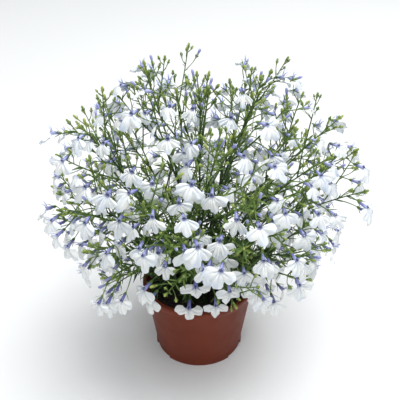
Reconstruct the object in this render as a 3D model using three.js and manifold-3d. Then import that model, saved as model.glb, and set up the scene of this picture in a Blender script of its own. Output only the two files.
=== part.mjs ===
// A potted edging lobelia: a small brown plastic pot full of peat, and a bush of thin branched
// sprays that carry white blooms with violet tubes. Millimetres, +Z up, with the origin under
// the middle of the pot. -Y is the front.
import * as THREE from "three";
import { mergeVertices } from "three/addons/utils/BufferGeometryUtils.js";
import Module from "manifold-3d";

const degrees = THREE.MathUtils.degToRad;
const vec = (x, y, z) => new THREE.Vector3(x, y, z);
const mix = (a, b, share) => a + (b - a) * share;

// The pot: its wall leans out to a lip that has a groove along its top, and three recesses
// part its foot into pads.
const RIM_RADIUS = 45;
const POT_HEIGHT = 62;
const LIP_HEIGHT = 8;
const WALL_TOP_RADIUS = 42.6;
const WALL_FOOT_RADIUS = 34.8;
const WALL = 1.6;
const FOOT_RADIUS = 35.2;
const FOOT_HEIGHT = 6;
const FOOT_BEVEL = 0.6;
const FLOOR = 2.2;
const FLOOR_CORNER = [2.2, 4.8];
const POT_SIDES = 28;
const RECESSES = 3;
const RECESS_FROM_AXIS = 33;
const RECESS_DEPTH = 10;
const RECESS_HEIGHT = 4;
const RECESS_WIDTH = 21;
const DRAINS = 6;
const DRAIN_RADIUS = 3;
const DRAIN_RING = 21;
const DRAIN_SIDES = 6;

// The lip from outside to inside, as [out from RIM_RADIUS, up from POT_HEIGHT]
const LIP = [
  [-0.5, -4],
  [0, -2],
  [-0.6, -0.4],
  [-1.3, -1],
  [-2, 0],
  [-3.2, -0.4],
];

// The peat, and the square holes that the stems stand in
const SOIL_TOP = 53;
const SOIL_DOME = 1.5;
const FIT = 0.35;
const ROOT_DEPTH = 6;
const ROOT_TOP = SOIL_TOP + SOIL_DOME + 0.5;

// The bush is an oblate ball with full shoulders, which narrows towards its foot, and more so on
// its right. The sprays' tips lie on its skin, on a sunflower spiral that winds down from its
// top, and their roots lie on the same spiral in the peat.
const SPRAYS = 28;
const HEART = vec(5, 0, 147);
const BUSH_RADIUS = 114;
const BUSH_RISE = 82;
const FULLNESS = 2.4;
const LOWEST_TIP = -0.8;
const NARROWING = 0.25;
const NARROWER_RIGHT = 0.25;
const TIP_MARGIN = 9;
const ROOT_SPREAD = 25;
const REACHES = [0.93, 1];
const KNEE_SHARE = 0.22;
const KNEE_SHIFTS = [-6, 6];
const ARCH = 55;
const ARCH_POWER = 1.5;
const STEM_RADIUS = 1.15;
const TWIG_RADIUS = 0.8;
const TIP_RADIUS = 0.5;
const TWIG_STARTS = [0.5, 0.68];
const TWIG_LEAN = degrees(38);
const TWIG_SHORTEST = 0.6;
const TWIG_PARTS = { knee: 0.5, end: 0.3, turnedUp: 0.25 };

// Where the blooms stand, as shares of the length of their stem or twig
const STEM_BLOOMS = [0.94, 0.88, 0.78, 0.64, 0.55];
const TWIG_BLOOMS = [0.93, 0.7, 0.42];
const PEDICEL_LENGTH = 21;
const PEDICEL_SHARES = [0.7, 1.15];
const PEDICEL_LEANS = [44, 70];
const PEDICEL_RADIUS = 0.5;
const LEAF_LENGTH = 15;
const LEAF_WIDTH = 3.2;
const LEAF_THICKNESS = 0.9;
const LEAF_LEAN = degrees(50);
const BUD_LENGTH = 6.5;
const BUD_RADIUS = 1.4;
const BUD_WAIST = 0.6;

// One bloom, from the mouth of its tube: x along the tube, y to its left, z up. The lip hangs
// LIP_DROOP below the tube's axis, and its lobes are given as [down the lip, across, out of it].
const TUBE_LENGTH = 7.5;
const MOUTH_RADIUS = 1.6;
const MOUTH_BEHIND = 0.9;
const LIP_DROOP = degrees(50);
const SIDE_LOBE = [4, 10.6, -0.9];
const LOBE_NOTCH = [6.2, 3.9, 0.3];
const MIDDLE_TIP = [13.3, 0, -1.3];
const THROAT = vec(0.8, 0, -0.4);
const EAR_TIP = vec(2.3, 2.3, 6);
const EAR_GAP = vec(0.1, 1.9, 0.9);
const EAR_VALLEY = vec(0.4, 0, 1.7);
const BLOOM_SIZES = [0.78, 0.98];

// How far a bloom nods, in degrees, at the top and at the foot of the bush, and by chance
const NODS = [2, 48];
const NOD_HEIGHTS = [215, 70];
const NOD_CHANCE = [-11, 11];
const ROLL_CHANCE = [-20, 20];
const ALONG_PEDICEL = 0.5;
const TO_THE_LIGHT = vec(0, -0.12, 0);

// The spray that hangs over the front of the pot. Its blooms are given by their place, the turn
// from the front towards +X, and how far they nod, in degrees.
const FRONT_STEM = {
  start: vec(-8.3, -26.8, ROOT_TOP),
  knee: vec(-10, -38, 100),
  tip: vec(-14, -66, 150),
};
const FRONT_TWIG_START = 0.45;
const FRONT_TWIG = { knee: vec(-3, -46, 104), tip: vec(5, -54, 112) };
const FRONT_BLOOMS = [
  { curve: 0, t: 0.7, at: vec(-2.2, -64, 113), turn: 0, nod: 50, size: 1.02 },
  { curve: 0, t: 0.62, at: vec(-30, -62, 98), turn: -50, nod: 33, size: 1 },
  { curve: 0, t: 0.74, at: vec(-33, -72, 114.5), turn: -50, nod: 30, size: 0.95 },
  { curve: 1, t: 0.3, at: vec(-6.5, -57, 87), turn: -6, nod: 38, size: 0.98 },
  { curve: 1, t: 0.85, at: vec(12, -60, 91), turn: 3, nod: 48, size: 0.84 },
];

// The spray that rises in the middle of the bush
const TOP_ROOT = vec(-4.5, -3.5, ROOT_TOP);
const TOP_TIP = vec(7, -3, 224);
const TOP_SHIFTS = [-9, 9];
const TOP_TRIES = 60;
const TOP_TWIG_STARTS = [0.68, 0.5];
const TOP_BLOOMS = [0.94, 0.84];

// Room that stays free before these blooms and before the bare peat, towards the front
const TO_THE_FRONT = vec(0, -0.84, 0.54);
const FRONT_STEPS = [12, 22, 32, 42, 52, 62];
const FRONT_ROOM = 6.8;
const BARE_PEAT = vec(-19, -36, 62);

// Over the front of the pot, nothing hangs below a slope
const SLOPE_FROM = -20;
const SLOPE_LOW = 20;
const SLOPE_RISE = 0.87;

// Bare peat shows at the front left. A bloom between these sides and before this place hides
// it when its height, less the fall of the view from there, is below a limit.
const BARE_LEFT = -40;
const BARE_RIGHT = -8;
const BARE_FRONT = -60;
const VIEW_FALL = 0.8;
const VIEW_LOW = 70;

// Leafy shoots without blooms, round the edge of the peat but for its front left
const SHOOTS = 8;
const SHOOT_RING = 31.5;
const SHOOT_HEIGHT = 24;
const SHOOT_SPREAD = 9;
const SHOOT_SPREADS = [0.6, 1.1];
const SHOOT_HEIGHTS = [0.7, 1.1];
const SHOOT_KNEE = 0.6;
const SHOOT_LEAVES = 5;
const SHOOT_LEAF_LENGTH = 0.75 * LEAF_LENGTH;
const SHOOT_LEAVES_FROM = 0.25;
const SHOOT_LEAVES_TO = 0.97;
const SHOOT_TOP_LEAN = degrees(20);
const BARE_START = degrees(-135);
const BARE_TURN = degrees(70);

const SEED = 224;
const GOLDEN_TURN = Math.PI * (3 - Math.sqrt(5));
const TRIES = 20;

// How far back a bloom may face along its pedicel, and how far out it may stand
const MOST_BACKWARD = -0.2;
const FARTHEST_BASE = 1.03;

const wasm = await Module();
wasm.setup();

// Solids

// A closed polyhedron as a solid
function solidFrom(corners, faces) {
  const solid = new wasm.Manifold(
    new wasm.Mesh({
      numProp: 3,
      vertProperties: new Float32Array(corners.flatMap((c) => [c.x, c.y, c.z])),
      triVerts: new Uint32Array(faces.flat()),
    }),
  );
  if (solid.volume() <= 0) throw new Error("a polyhedron is inside out");
  return solid;
}

function solidOf(geometry) {
  const bare = geometry.clone();
  bare.deleteAttribute("normal");
  bare.deleteAttribute("uv");
  const merged = mergeVertices(bare, 1e-4);
  const { position } = merged.attributes;
  const corners = Array.from({ length: position.count }, (_, i) =>
    new THREE.Vector3().fromBufferAttribute(position, i),
  );
  const faces = Array.from({ length: merged.index.count / 3 }, (_, i) =>
    Array.from(merged.index.array.slice(3 * i, 3 * i + 3)),
  ).filter(([a, b, c]) => a !== b && b !== c && c !== a);
  return solidFrom(corners, faces);
}

function geometryOf(solid) {
  const mesh = solid.getMesh();
  const position = new Float32Array(mesh.numVert * 3);
  for (let i = 0; i < mesh.numVert; i++) {
    const start = i * mesh.numProp;
    position.set(mesh.vertProperties.subarray(start, start + 3), i * 3);
  }
  const geometry = new THREE.BufferGeometry();
  geometry.setAttribute("position", new THREE.BufferAttribute(position, 3));
  geometry.setIndex(new THREE.BufferAttribute(mesh.triVerts, 1));
  geometry.computeVertexNormals();
  return geometry;
}

// A solid of revolution about Z, from [radius, height] pairs that start and end on the axis
function turned(profile) {
  const points = profile.map(([r, z]) => new THREE.Vector2(r, z));
  return solidOf(new THREE.LatheGeometry(points, POT_SIDES).rotateX(Math.PI / 2));
}

// Pot and peat

const INNER_FOOT = [WALL_FOOT_RADIUS - WALL, FLOOR + FLOOR_CORNER[1]];
const FLOOR_RADIUS = INNER_FOOT[0] - FLOOR_CORNER[0];
const LIP_OUTLINE = LIP.map(([out, up]) => [RIM_RADIUS + out, POT_HEIGHT + up]);
const INNER_TOP = LIP_OUTLINE.at(-1);

function insideRadius(z) {
  const share = (z - INNER_FOOT[1]) / (INNER_TOP[1] - INNER_FOOT[1]);
  return mix(INNER_FOOT[0], INNER_TOP[0], share);
}

function potSolid() {
  const wall = turned([
    [0, 0],
    [FOOT_RADIUS, 0],
    [FOOT_RADIUS, FOOT_HEIGHT - FOOT_BEVEL],
    [WALL_FOOT_RADIUS, FOOT_HEIGHT],
    [WALL_TOP_RADIUS, POT_HEIGHT - LIP_HEIGHT],
    ...LIP_OUTLINE,
    INNER_FOOT,
    [FLOOR_RADIUS, FLOOR],
    [0, FLOOR],
  ]);
  const recess = new THREE.BoxGeometry(RECESS_DEPTH, RECESS_WIDTH, 2 * RECESS_HEIGHT);
  const drain = new THREE.CylinderGeometry(DRAIN_RADIUS, DRAIN_RADIUS, 3 * FLOOR, DRAIN_SIDES);
  recess.translate(RECESS_FROM_AXIS + RECESS_DEPTH / 2, 0, 0);
  drain.rotateX(Math.PI / 2).translate(DRAIN_RING, 0, FLOOR / 2);
  let pot = wall;
  for (let i = 0; i < RECESSES; i++) {
    const turn = ((i + 0.5) / RECESSES) * 2 * Math.PI - Math.PI / 2;
    pot = pot.subtract(solidOf(recess.clone().rotateZ(turn)));
  }
  for (let i = 0; i < DRAINS; i++) {
    const turn = (i / DRAINS) * 2 * Math.PI;
    pot = pot.subtract(solidOf(drain.clone().rotateZ(turn)));
  }
  return pot;
}

function peatSolid(roots) {
  const edge = insideRadius(SOIL_TOP) - FIT;
  let peat = turned([
    [0, FLOOR + FIT],
    [FLOOR_RADIUS - FIT, FLOOR + FIT],
    [INNER_FOOT[0] - FIT, INNER_FOOT[1]],
    [edge, SOIL_TOP],
    [edge / 2, SOIL_TOP + 0.75 * SOIL_DOME],
    [0, SOIL_TOP + SOIL_DOME],
  ]);
  for (const { at, radius } of roots) {
    const side = 2 * (radius + FIT);
    const tall = 3 * ROOT_DEPTH;
    const hole = new THREE.BoxGeometry(side, side, tall);
    hole.translate(at.x, at.y, ROOT_TOP - ROOT_DEPTH - FIT + tall / 2);
    peat = peat.subtract(solidOf(hole));
  }
  return peat;
}

// Chance, the same on every run

let drawn = SEED;
function between(low, high) {
  drawn = (drawn * 48271) % 2147483647;
  return mix(low, high, drawn / 2147483647);
}

// Room: each piece of the plant is remembered as beads, so that no piece is put through
// another. It may touch only the stalk that it grows from, near the place that it grows from.

const CELL = 10;
const CLEARANCE = 0.6;
const ROOT_REACH = 6;
const BEAD_STEP = 1.5;
const PEDICEL_BEADS_FROM = 0.1;
const LEAF_BEADS_FROM = 0.15;
const RIM_BEAD = { inward: 2.2, down: 2, radius: 2.6 };
const cells = new Map();
const steps = [-1, 0, 1];
const cellKey = (p, i = 0, j = 0, k = 0) =>
  [Math.floor(p.x / CELL) + i, Math.floor(p.y / CELL) + j, Math.floor(p.z / CELL) + k].join();

function settle(beads, stalk = null) {
  for (const { at, radius } of beads) {
    const key = cellKey(at);
    if (!cells.has(key)) cells.set(key, []);
    cells.get(key).push({ at, radius, stalk });
  }
}

const lowestAt = (y) => (y < SLOPE_FROM ? SLOPE_LOW - SLOPE_RISE * y : 0);

const hidesPeat = ({ x, y, z }) =>
  x > BARE_LEFT && x < BARE_RIGHT && y < BARE_FRONT && z + VIEW_FALL * y < VIEW_LOW;

function blocked({ at, radius }, stalk, anchor) {
  const inPot = Math.hypot(at.x, at.y) < RIM_RADIUS;
  if (inPot && at.z < ROOT_TOP + radius) return true;
  if (at.z < lowestAt(at.y)) return true;
  const nearAnchor = at.distanceTo(anchor) < ROOT_REACH;
  for (const i of steps)
    for (const j of steps)
      for (const k of steps)
        for (const other of cells.get(cellKey(at, i, j, k)) ?? []) {
          if (nearAnchor && other.stalk === stalk) continue;
          if (at.distanceTo(other.at) < radius + other.radius + CLEARANCE) return true;
        }
  return false;
}

const isClear = (beads, stalk, anchor) => !beads.some((bead) => blocked(bead, stalk, anchor));

function settleRim() {
  const ring = RIM_RADIUS - RIM_BEAD.inward;
  const count = Math.round(ring * Math.PI);
  for (let i = 0; i < count; i++) {
    const turn = (i / count) * 2 * Math.PI;
    const at = vec(ring * Math.cos(turn), ring * Math.sin(turn), POT_HEIGHT - RIM_BEAD.down);
    settle([{ at, radius: RIM_BEAD.radius }]);
  }
}

// Curves: a stem or twig bends from its start past its knee to its tip, in straight segments

const STEM_SEGMENTS = 6;
const TWIG_SEGMENTS = 2;
const BUD_BEADS = [0.35, 0.75];

function bendAt({ start, knee, tip }, t) {
  const s = 1 - t;
  return vec(0, 0, 0)
    .addScaledVector(start, s * s)
    .addScaledVector(knee, 2 * s * t)
    .addScaledVector(tip, t * t);
}

function pointOn(curve, t) {
  const along = t * curve.segments;
  const i = Math.min(Math.floor(along), curve.segments - 1);
  const end = bendAt(curve, (i + 1) / curve.segments);
  return bendAt(curve, i / curve.segments).lerp(end, along - i);
}

function headingOn({ start, knee, tip }, t) {
  return vec(0, 0, 0)
    .addScaledVector(start, t - 1)
    .addScaledVector(knee, 1 - 2 * t)
    .addScaledVector(tip, t)
    .normalize();
}

// The unit vector at right angles to a heading, turned by an angle round it
function sideOf(heading, turn) {
  const level = vec(-heading.y, heading.x, 0);
  if (level.length() < 0.05) level.set(1, 0, 0);
  level.normalize();
  const other = vec(0, 0, 0).crossVectors(heading, level);
  return level.multiplyScalar(Math.cos(turn)).addScaledVector(other, Math.sin(turn));
}

function lean(heading, turn, angle) {
  const side = sideOf(heading, turn);
  return side.multiplyScalar(Math.sin(angle)).addScaledVector(heading, Math.cos(angle));
}

function beadsBetween(a, b, radius, from = 0) {
  const count = Math.ceil(a.distanceTo(b) / BEAD_STEP);
  return Array.from({ length: count + 1 }, (_, i) => ({
    at: a.clone().lerp(b, mix(from, 1, i / count)),
    radius,
  }));
}

// The beads of a stem or twig and of the bud at its tip
function stalkBeads(curve, radius) {
  const beads = [];
  for (let i = 0; i < curve.segments; i++) {
    const a = bendAt(curve, i / curve.segments);
    beads.push(...beadsBetween(a, bendAt(curve, (i + 1) / curve.segments), radius));
  }
  const heading = headingOn(curve, 1);
  for (const share of BUD_BEADS) {
    const at = curve.tip.clone().addScaledVector(heading, share * BUD_LENGTH);
    beads.push({ at, radius: BUD_RADIUS });
  }
  return beads;
}

// The plan of the bush

// A share of the way from the heart to the bush's skin
function depthOf(p) {
  const flat = Math.hypot(p.x - HEART.x, p.y - HEART.y) / BUSH_RADIUS;
  const rise = Math.abs(p.z - HEART.z) / BUSH_RISE;
  return (flat ** FULLNESS + rise ** FULLNESS) ** (1 / FULLNESS);
}

// A stem from a root to a tip, with its knee raised by an arch, or null where that has no room
function stemTo(root, tip, arch) {
  const knee = root.clone().lerp(tip, KNEE_SHARE);
  knee.x += between(...KNEE_SHIFTS);
  knee.y += between(...KNEE_SHIFTS);
  knee.z = (ROOT_TOP + tip.z) / 2 + arch;
  const curve = { start: root, knee, tip, segments: STEM_SEGMENTS };
  const lowest = ROOT_TOP + STEM_RADIUS;
  const beads = stalkBeads(curve, STEM_RADIUS).filter(({ at }) => at.z > lowest);
  if (!isClear(beads, curve, root)) return null;
  settle(beads, curve);
  return curve;
}

function planStem(k) {
  const level = mix(1, LOWEST_TIP, (k + 0.5) / SPRAYS);
  const turn = k * GOLDEN_TURN;
  const out = vec(Math.cos(turn), Math.sin(turn), 0);
  const root = out.clone().multiplyScalar(ROOT_SPREAD * Math.sqrt((k + 0.5) / SPRAYS));
  root.z = ROOT_TOP;
  for (let i = 0; i < TRIES; i++) {
    const reach = between(...REACHES);
    const full = (1 - Math.abs(level) ** FULLNESS) ** (1 / FULLNESS);
    const narrowing = NARROWING + NARROWER_RIGHT * Math.max(out.x, 0);
    const outward = full * (1 + narrowing * Math.min(level, 0));
    const tip = HEART.clone().addScaledVector(out, BUSH_RADIUS * outward * reach);
    tip.z += BUSH_RISE * level * reach;
    tip.z = Math.max(tip.z, lowestAt(tip.y) + TIP_MARGIN);
    const stem = stemTo(root, tip, ARCH * ((1 - level) / 2) ** ARCH_POWER);
    if (stem) return stem;
  }
  return null;
}

// The top spray fills the middle of the bush from above
function planTopStem() {
  for (let i = 0; i < TOP_TRIES; i++) {
    const shift = vec(between(...TOP_SHIFTS), between(...TOP_SHIFTS), 0);
    const stem = stemTo(TOP_ROOT, TOP_TIP.clone().add(shift), 0);
    if (stem) return stem;
  }
  return null;
}

function planTwig(stem, start) {
  const anchor = pointOn(stem, start);
  const heading = headingOn(stem, start);
  const left = anchor.distanceTo(stem.tip);
  const turn = between(0, 2 * Math.PI);
  for (let i = 0; i < TRIES; i++) {
    const way = lean(heading, turn + i * GOLDEN_TURN, TWIG_LEAN);
    const length = left * mix(1, TWIG_SHORTEST, i / TRIES);
    const knee = anchor.clone().addScaledVector(way, TWIG_PARTS.knee * length);
    const tip = knee.clone().addScaledVector(way, TWIG_PARTS.end * length);
    tip.addScaledVector(heading, TWIG_PARTS.turnedUp * length);
    const curve = { start: anchor, knee, tip, segments: TWIG_SEGMENTS, from: start };
    const beads = stalkBeads(curve, TWIG_RADIUS);
    if (depthOf(tip) < 1 && isClear(beads, stem, anchor)) {
      settle(beads, curve);
      return curve;
    }
  }
  return null;
}

// The frame of a bloom, at the end of its pedicel: forward along the tube, left and up
function bloomFrame(base, facing, nod, roll, size) {
  const forward = vec(facing.x, facing.y, 0).setLength(Math.cos(nod));
  forward.z = -Math.sin(nod);
  const left = vec(-facing.y, facing.x, 0).normalize().applyAxisAngle(forward, roll);
  return { base, forward, left, up: vec(0, 0, 0).crossVectors(forward, left), size };
}

function inBloom({ base, forward, left, up, size }, { x, y, z }) {
  return base
    .clone()
    .addScaledVector(forward, size * (TUBE_LENGTH + x))
    .addScaledVector(left, size * y)
    .addScaledVector(up, size * z);
}

function onLip([down, across, proud]) {
  const c = Math.cos(LIP_DROOP);
  const s = Math.sin(LIP_DROOP);
  return vec(down * c + proud * s, across, proud * c - down * s);
}

const LIP_BEADS = [
  [2, 0, 0],
  [1.8, 4.5, 0],
  [5.2, 5.8, 0],
  [2, 7.8, -0.6],
  [5.2, 8.2, -0.6],
  [8, 1.8, 0],
  [11.2, 1.7, -0.5],
];
const LIP_BEAD_RADIUS = 2.4;
const EAR_BEADS = [vec(1, 1.2, 3), vec(2, 2, 5.2)];
const EAR_BEAD_RADIUS = 1;
const TUBE_BEADS = [-6, -4, -2];
const TUBE_BEAD_RADIUS = 1.5;

function bloomBeads(frame, from) {
  const beads = beadsBetween(from, frame.base, PEDICEL_RADIUS, PEDICEL_BEADS_FROM);
  for (const x of TUBE_BEADS)
    beads.push({ at: inBloom(frame, vec(x, 0, 0)), radius: TUBE_BEAD_RADIUS });
  for (const side of [1, -1]) {
    for (const [down, across, proud] of LIP_BEADS) {
      const at = inBloom(frame, onLip([down, side * across, proud]));
      beads.push({ at, radius: LIP_BEAD_RADIUS });
    }
    for (const { x, y, z } of EAR_BEADS)
      beads.push({ at: inBloom(frame, vec(x, side * y, z)), radius: EAR_BEAD_RADIUS });
  }
  return beads;
}

function planBloom(curve, t) {
  const [top, foot] = NOD_HEIGHTS;
  const anchor = pointOn(curve, t);
  const heading = headingOn(curve, t);
  const turn = between(0, 2 * Math.PI);
  for (let i = 0; i < TRIES; i++) {
    const way = lean(heading, turn + i * GOLDEN_TURN, degrees(between(...PEDICEL_LEANS)));
    const base = anchor.clone().addScaledVector(way, PEDICEL_LENGTH * between(...PEDICEL_SHARES));
    const low = THREE.MathUtils.clamp((top - base.z) / (top - foot), 0, 1);
    const nod = degrees(mix(...NODS, low) + between(...NOD_CHANCE));
    const roll = degrees(between(...ROLL_CHANCE));
    const facing = vec(base.x - HEART.x, base.y - HEART.y, 0).divideScalar(BUSH_RADIUS);
    facing.addScaledVector(way, ALONG_PEDICEL).add(TO_THE_LIGHT);
    const frame = bloomFrame(base, facing, nod, roll, between(...BLOOM_SIZES));
    const beads = bloomBeads(frame, anchor);
    const backward = way.dot(frame.forward) < MOST_BACKWARD;
    if (!backward && depthOf(base) < FARTHEST_BASE && isClear(beads, curve, anchor)) {
      settle(beads);
      return { curve, t, anchor, ...frame };
    }
  }
  return null;
}

function planLeaf(curve, t, leaning, length) {
  const anchor = pointOn(curve, t);
  const heading = headingOn(curve, t);
  const turn = between(0, 2 * Math.PI);
  for (let i = 0; i < TRIES; i++) {
    const way = lean(heading, turn + i * GOLDEN_TURN, leaning);
    const tip = anchor.clone().addScaledVector(way, length);
    const beads = beadsBetween(anchor, tip, LEAF_WIDTH / 2, LEAF_BEADS_FROM);
    if (isClear(beads, curve, anchor)) {
      settle(beads);
      return { curve, t, anchor, way, length };
    }
  }
  return null;
}

function roomBefore(from) {
  return FRONT_STEPS.map((step) => ({
    at: from.clone().addScaledVector(TO_THE_FRONT, step),
    radius: FRONT_ROOM,
  }));
}

function planFrontSpray(owner) {
  const stem = { ...FRONT_STEM, segments: STEM_SEGMENTS };
  const start = pointOn(stem, FRONT_TWIG_START);
  const twig = { ...FRONT_TWIG, start, segments: TWIG_SEGMENTS, from: FRONT_TWIG_START };
  const curves = [stem, twig];
  settle(stalkBeads(stem, STEM_RADIUS), stem);
  settle(stalkBeads(twig, TWIG_RADIUS), twig);
  settle(roomBefore(BARE_PEAT));
  const blooms = FRONT_BLOOMS.map(({ curve, t, at, turn, nod, size }) => {
    const facing = vec(Math.sin(degrees(turn)), -Math.cos(degrees(turn)), 0);
    const frame = bloomFrame(at, facing, degrees(nod), 0, size);
    const anchor = pointOn(curves[curve], t);
    settle(bloomBeads(frame, anchor));
    settle(roomBefore(inBloom(frame, vec(3, 0, 0))));
    return { curve: curves[curve], t, anchor, ...frame };
  });
  return { owner, curves, blooms, leaves: [] };
}

function planShoot(j, owner) {
  const turn = BARE_START + BARE_TURN + ((j + 0.5) / SHOOTS) * (2 * Math.PI - BARE_TURN);
  const out = vec(Math.cos(turn), Math.sin(turn), 0);
  const root = out.clone().multiplyScalar(SHOOT_RING);
  root.z = ROOT_TOP;
  const knee = root.clone().add(vec(0, 0, SHOOT_KNEE * SHOOT_HEIGHT));
  const tip = root.clone().addScaledVector(out, SHOOT_SPREAD * between(...SHOOT_SPREADS));
  tip.z += SHOOT_HEIGHT * between(...SHOOT_HEIGHTS);
  const curve = { start: root, knee, tip, segments: TWIG_SEGMENTS };
  settle(stalkBeads(curve, TWIG_RADIUS), curve);
  const leaves = [];
  for (let i = 0; i < SHOOT_LEAVES; i++) {
    const t = mix(SHOOT_LEAVES_FROM, SHOOT_LEAVES_TO, i / (SHOOT_LEAVES - 1));
    leaves.push(planLeaf(curve, t, mix(LEAF_LEAN, SHOOT_TOP_LEAN, t * t), SHOOT_LEAF_LENGTH));
  }
  return { owner, curves: [curve], blooms: [], leaves: leaves.filter(Boolean) };
}

function planTopSpray(owner) {
  const stem = planTopStem();
  if (!stem) throw new Error(`${owner} finds no room`);
  const twigs = TOP_TWIG_STARTS.map((start) => planTwig(stem, start)).filter(Boolean);
  const blooms = TOP_BLOOMS.map((t) => planBloom(stem, t));
  for (const twig of twigs) blooms.push(...TWIG_BLOOMS.map((t) => planBloom(twig, t)));
  return { owner, curves: [stem, ...twigs], blooms, leaves: [] };
}

function planBush() {
  settleRim();
  const sprays = [planFrontSpray("spray_front")];
  const placed = [...sprays[0].blooms];
  for (let k = 0; k < SPRAYS; k++) {
    const owner = `spray_${String(k + 1).padStart(2, "0")}`;
    const stem = planStem(k);
    if (!stem) throw new Error(`${owner} finds no room`);
    sprays.push({ owner, curves: [stem], blooms: [], leaves: [] });
  }
  for (const spray of sprays.slice(1))
    for (const start of TWIG_STARTS) {
      const twig = planTwig(spray.curves[0], start);
      if (twig) spray.curves.push(twig);
    }
  const shoots = [];
  for (let j = 0; j < SHOOTS; j++) shoots.push(planShoot(j, `shoot_${j + 1}`));
  for (const { curves, blooms } of sprays)
    curves.forEach((curve, c) => {
      const stands = c ? TWIG_BLOOMS : STEM_BLOOMS;
      for (const t of stands) blooms.push(planBloom(curve, t));
    });
  sprays.push(planTopSpray("spray_top"));
  const stays = (bloom) => bloom && (placed.includes(bloom) || !hidesPeat(bloom.base));
  for (const spray of sprays) spray.blooms = spray.blooms.filter(stays);
  return { sprays, shoots };
}

// The plant's bodies: each spray is one skin. A twig, pedicel or leaf grows out of a small
// triangle that is left open in the side of its stalk.

const HOLE_REACH = 0.6;
const HOLE_SHARE = 0.3;
const HOLE_MARGIN = 1.2;

function newCorners(body, points) {
  const first = body.corners.length;
  body.corners.push(...points);
  return points.map((_, i) => first + i);
}

// Three corners round a point, counterclockwise as seen from the heading's tip
function ring(body, at, heading, normal, radius) {
  const flat = normal.clone().addScaledVector(heading, -normal.dot(heading)).normalize();
  const other = vec(0, 0, 0).crossVectors(heading, flat);
  const spokes = [0, 1, 2].map((i) => {
    const turn = (i * 2 * Math.PI) / 3;
    return flat.clone().multiplyScalar(Math.cos(turn)).addScaledVector(other, Math.sin(turn));
  });
  return newCorners(
    body,
    spokes.map((spoke) => spoke.multiplyScalar(radius).add(at)),
  );
}

// The skin between two rings, each side of it parted along its shorter diagonal
function skin(body, lower, upper) {
  const span = (i, j) => body.corners[i].distanceTo(body.corners[j]);
  for (let i = 0; i < 3; i++) {
    const next = (i + 1) % 3;
    const [a, b, c, d] = [lower[i], lower[next], upper[next], upper[i]];
    if (span(a, c) < span(b, d)) body.faces.push([a, b, c], [a, c, d]);
    else body.faces.push([a, b, d], [b, c, d]);
  }
}

function point(body, [a, b, c], at) {
  const [tip] = newCorners(body, [at]);
  body.faces.push([a, b, tip], [b, c, tip], [c, a, tip]);
}

function centreOf(body, corners) {
  const sum = vec(0, 0, 0);
  for (const i of corners) sum.add(body.corners[i]);
  return sum.divideScalar(corners.length);
}

// The way to the first corner of the regular ring, across a heading, that follows three corners
// with the least twist
function normalFor(body, corners, heading) {
  const centre = centreOf(body, corners);
  const sum = vec(0, 0, 0);
  corners.forEach((corner, i) => {
    const spoke = body.corners[corner].clone().sub(centre);
    sum.add(spoke.applyAxisAngle(heading, (-i * 2 * Math.PI) / 3));
  });
  return sum.normalize();
}

// One flat side of a stalk, between two rings, with a hole for each child. The side is laid out
// in a plane, across by along, to part it into triangles.
function sideWithHoles(body, quad, children) {
  const [a, b, c, d] = quad.map((i) => body.corners[i]);
  const onSide = ({ x, y }) => a.clone().lerp(b, x).lerp(d.clone().lerp(c, x), y);
  const flat = (x, y) => new THREE.Vector2(x, y);
  const outline = [flat(0, 0), flat(1, 0), flat(1, 1), flat(0, 1)];
  const reach = HOLE_REACH / a.distanceTo(d);
  const holes = children.map((child) => {
    const y = THREE.MathUtils.clamp(child.along, HOLE_MARGIN * reach, 1 - HOLE_MARGIN * reach);
    const hole = [
      flat(0.5 - HOLE_SHARE, y - reach),
      flat(0.5 + HOLE_SHARE, y - reach),
      flat(0.5, y + reach),
    ];
    child.hole = newCorners(body, hole.map(onSide));
    return hole;
  });
  const places = [...outline, ...holes.flat()];
  const corners = [...quad, ...children.flatMap((child) => child.hole)];
  for (const face of THREE.ShapeUtils.triangulateShape(outline, holes)) {
    const upright = !THREE.ShapeUtils.isClockWise(face.map((i) => places[i]));
    const [i, j, k] = face.map((n) => corners[n]);
    body.faces.push(upright ? [i, j, k] : [i, k, j]);
  }
}

// The sides between two rings. A child leaves through the side that faces its way best.
function sides(body, lower, upper, children) {
  const middle = centreOf(body, [...lower, ...upper]);
  const quads = [0, 1, 2].map((i) => {
    const next = (i + 1) % 3;
    return [lower[i], lower[next], upper[next], upper[i]];
  });
  const facings = quads.map((quad) => centreOf(body, quad).sub(middle).normalize());
  const sideFor = ({ way }) => {
    const fits = facings.map((facing) => facing.dot(way));
    return fits.indexOf(Math.max(...fits));
  };
  quads.forEach((quad, i) => {
    const here = children.filter((child) => sideFor(child) === i);
    sideWithHoles(body, quad, here);
  });
}

// A stem or twig up to its bud, and then all that grows from it
function growStalk(body, base, curve, radius, children) {
  const { tip, segments, from } = curve;
  const normal = normalFor(body, base, headingOn(curve, 0));
  let lower = base;
  for (let i = from ? 1 : 0; i <= segments; i++) {
    const t = i / segments;
    const thick = mix(radius, TIP_RADIUS, t);
    const upper = ring(body, bendAt(curve, t), headingOn(curve, t), normal, thick);
    const here = children.filter((child) => child.t > t - 1 / segments && child.t <= t);
    for (const child of here) child.along = child.t * segments - i + 1;
    sides(body, lower, upper, here);
    lower = upper;
  }
  const heading = headingOn(curve, 1);
  const widest = tip.clone().addScaledVector(heading, BUD_WAIST * BUD_LENGTH);
  const waist = ring(body, widest, heading, normal, BUD_RADIUS);
  skin(body, lower, waist);
  point(body, waist, tip.clone().addScaledVector(heading, BUD_LENGTH));
  for (const child of children) child.grow(body, child.hole);
}

// The outline of a bloom's petals, from the valley between its ears down its left side, round
// the lip and up the right side
function petalOutline() {
  const half = [EAR_TIP, EAR_GAP, onLip(SIDE_LOBE), onLip(LOBE_NOTCH)];
  const mirrored = half.map(({ x, y, z }) => vec(x, -y, z)).reverse();
  return [EAR_VALLEY, ...half, onLip(MIDDLE_TIP), ...mirrored];
}

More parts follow.
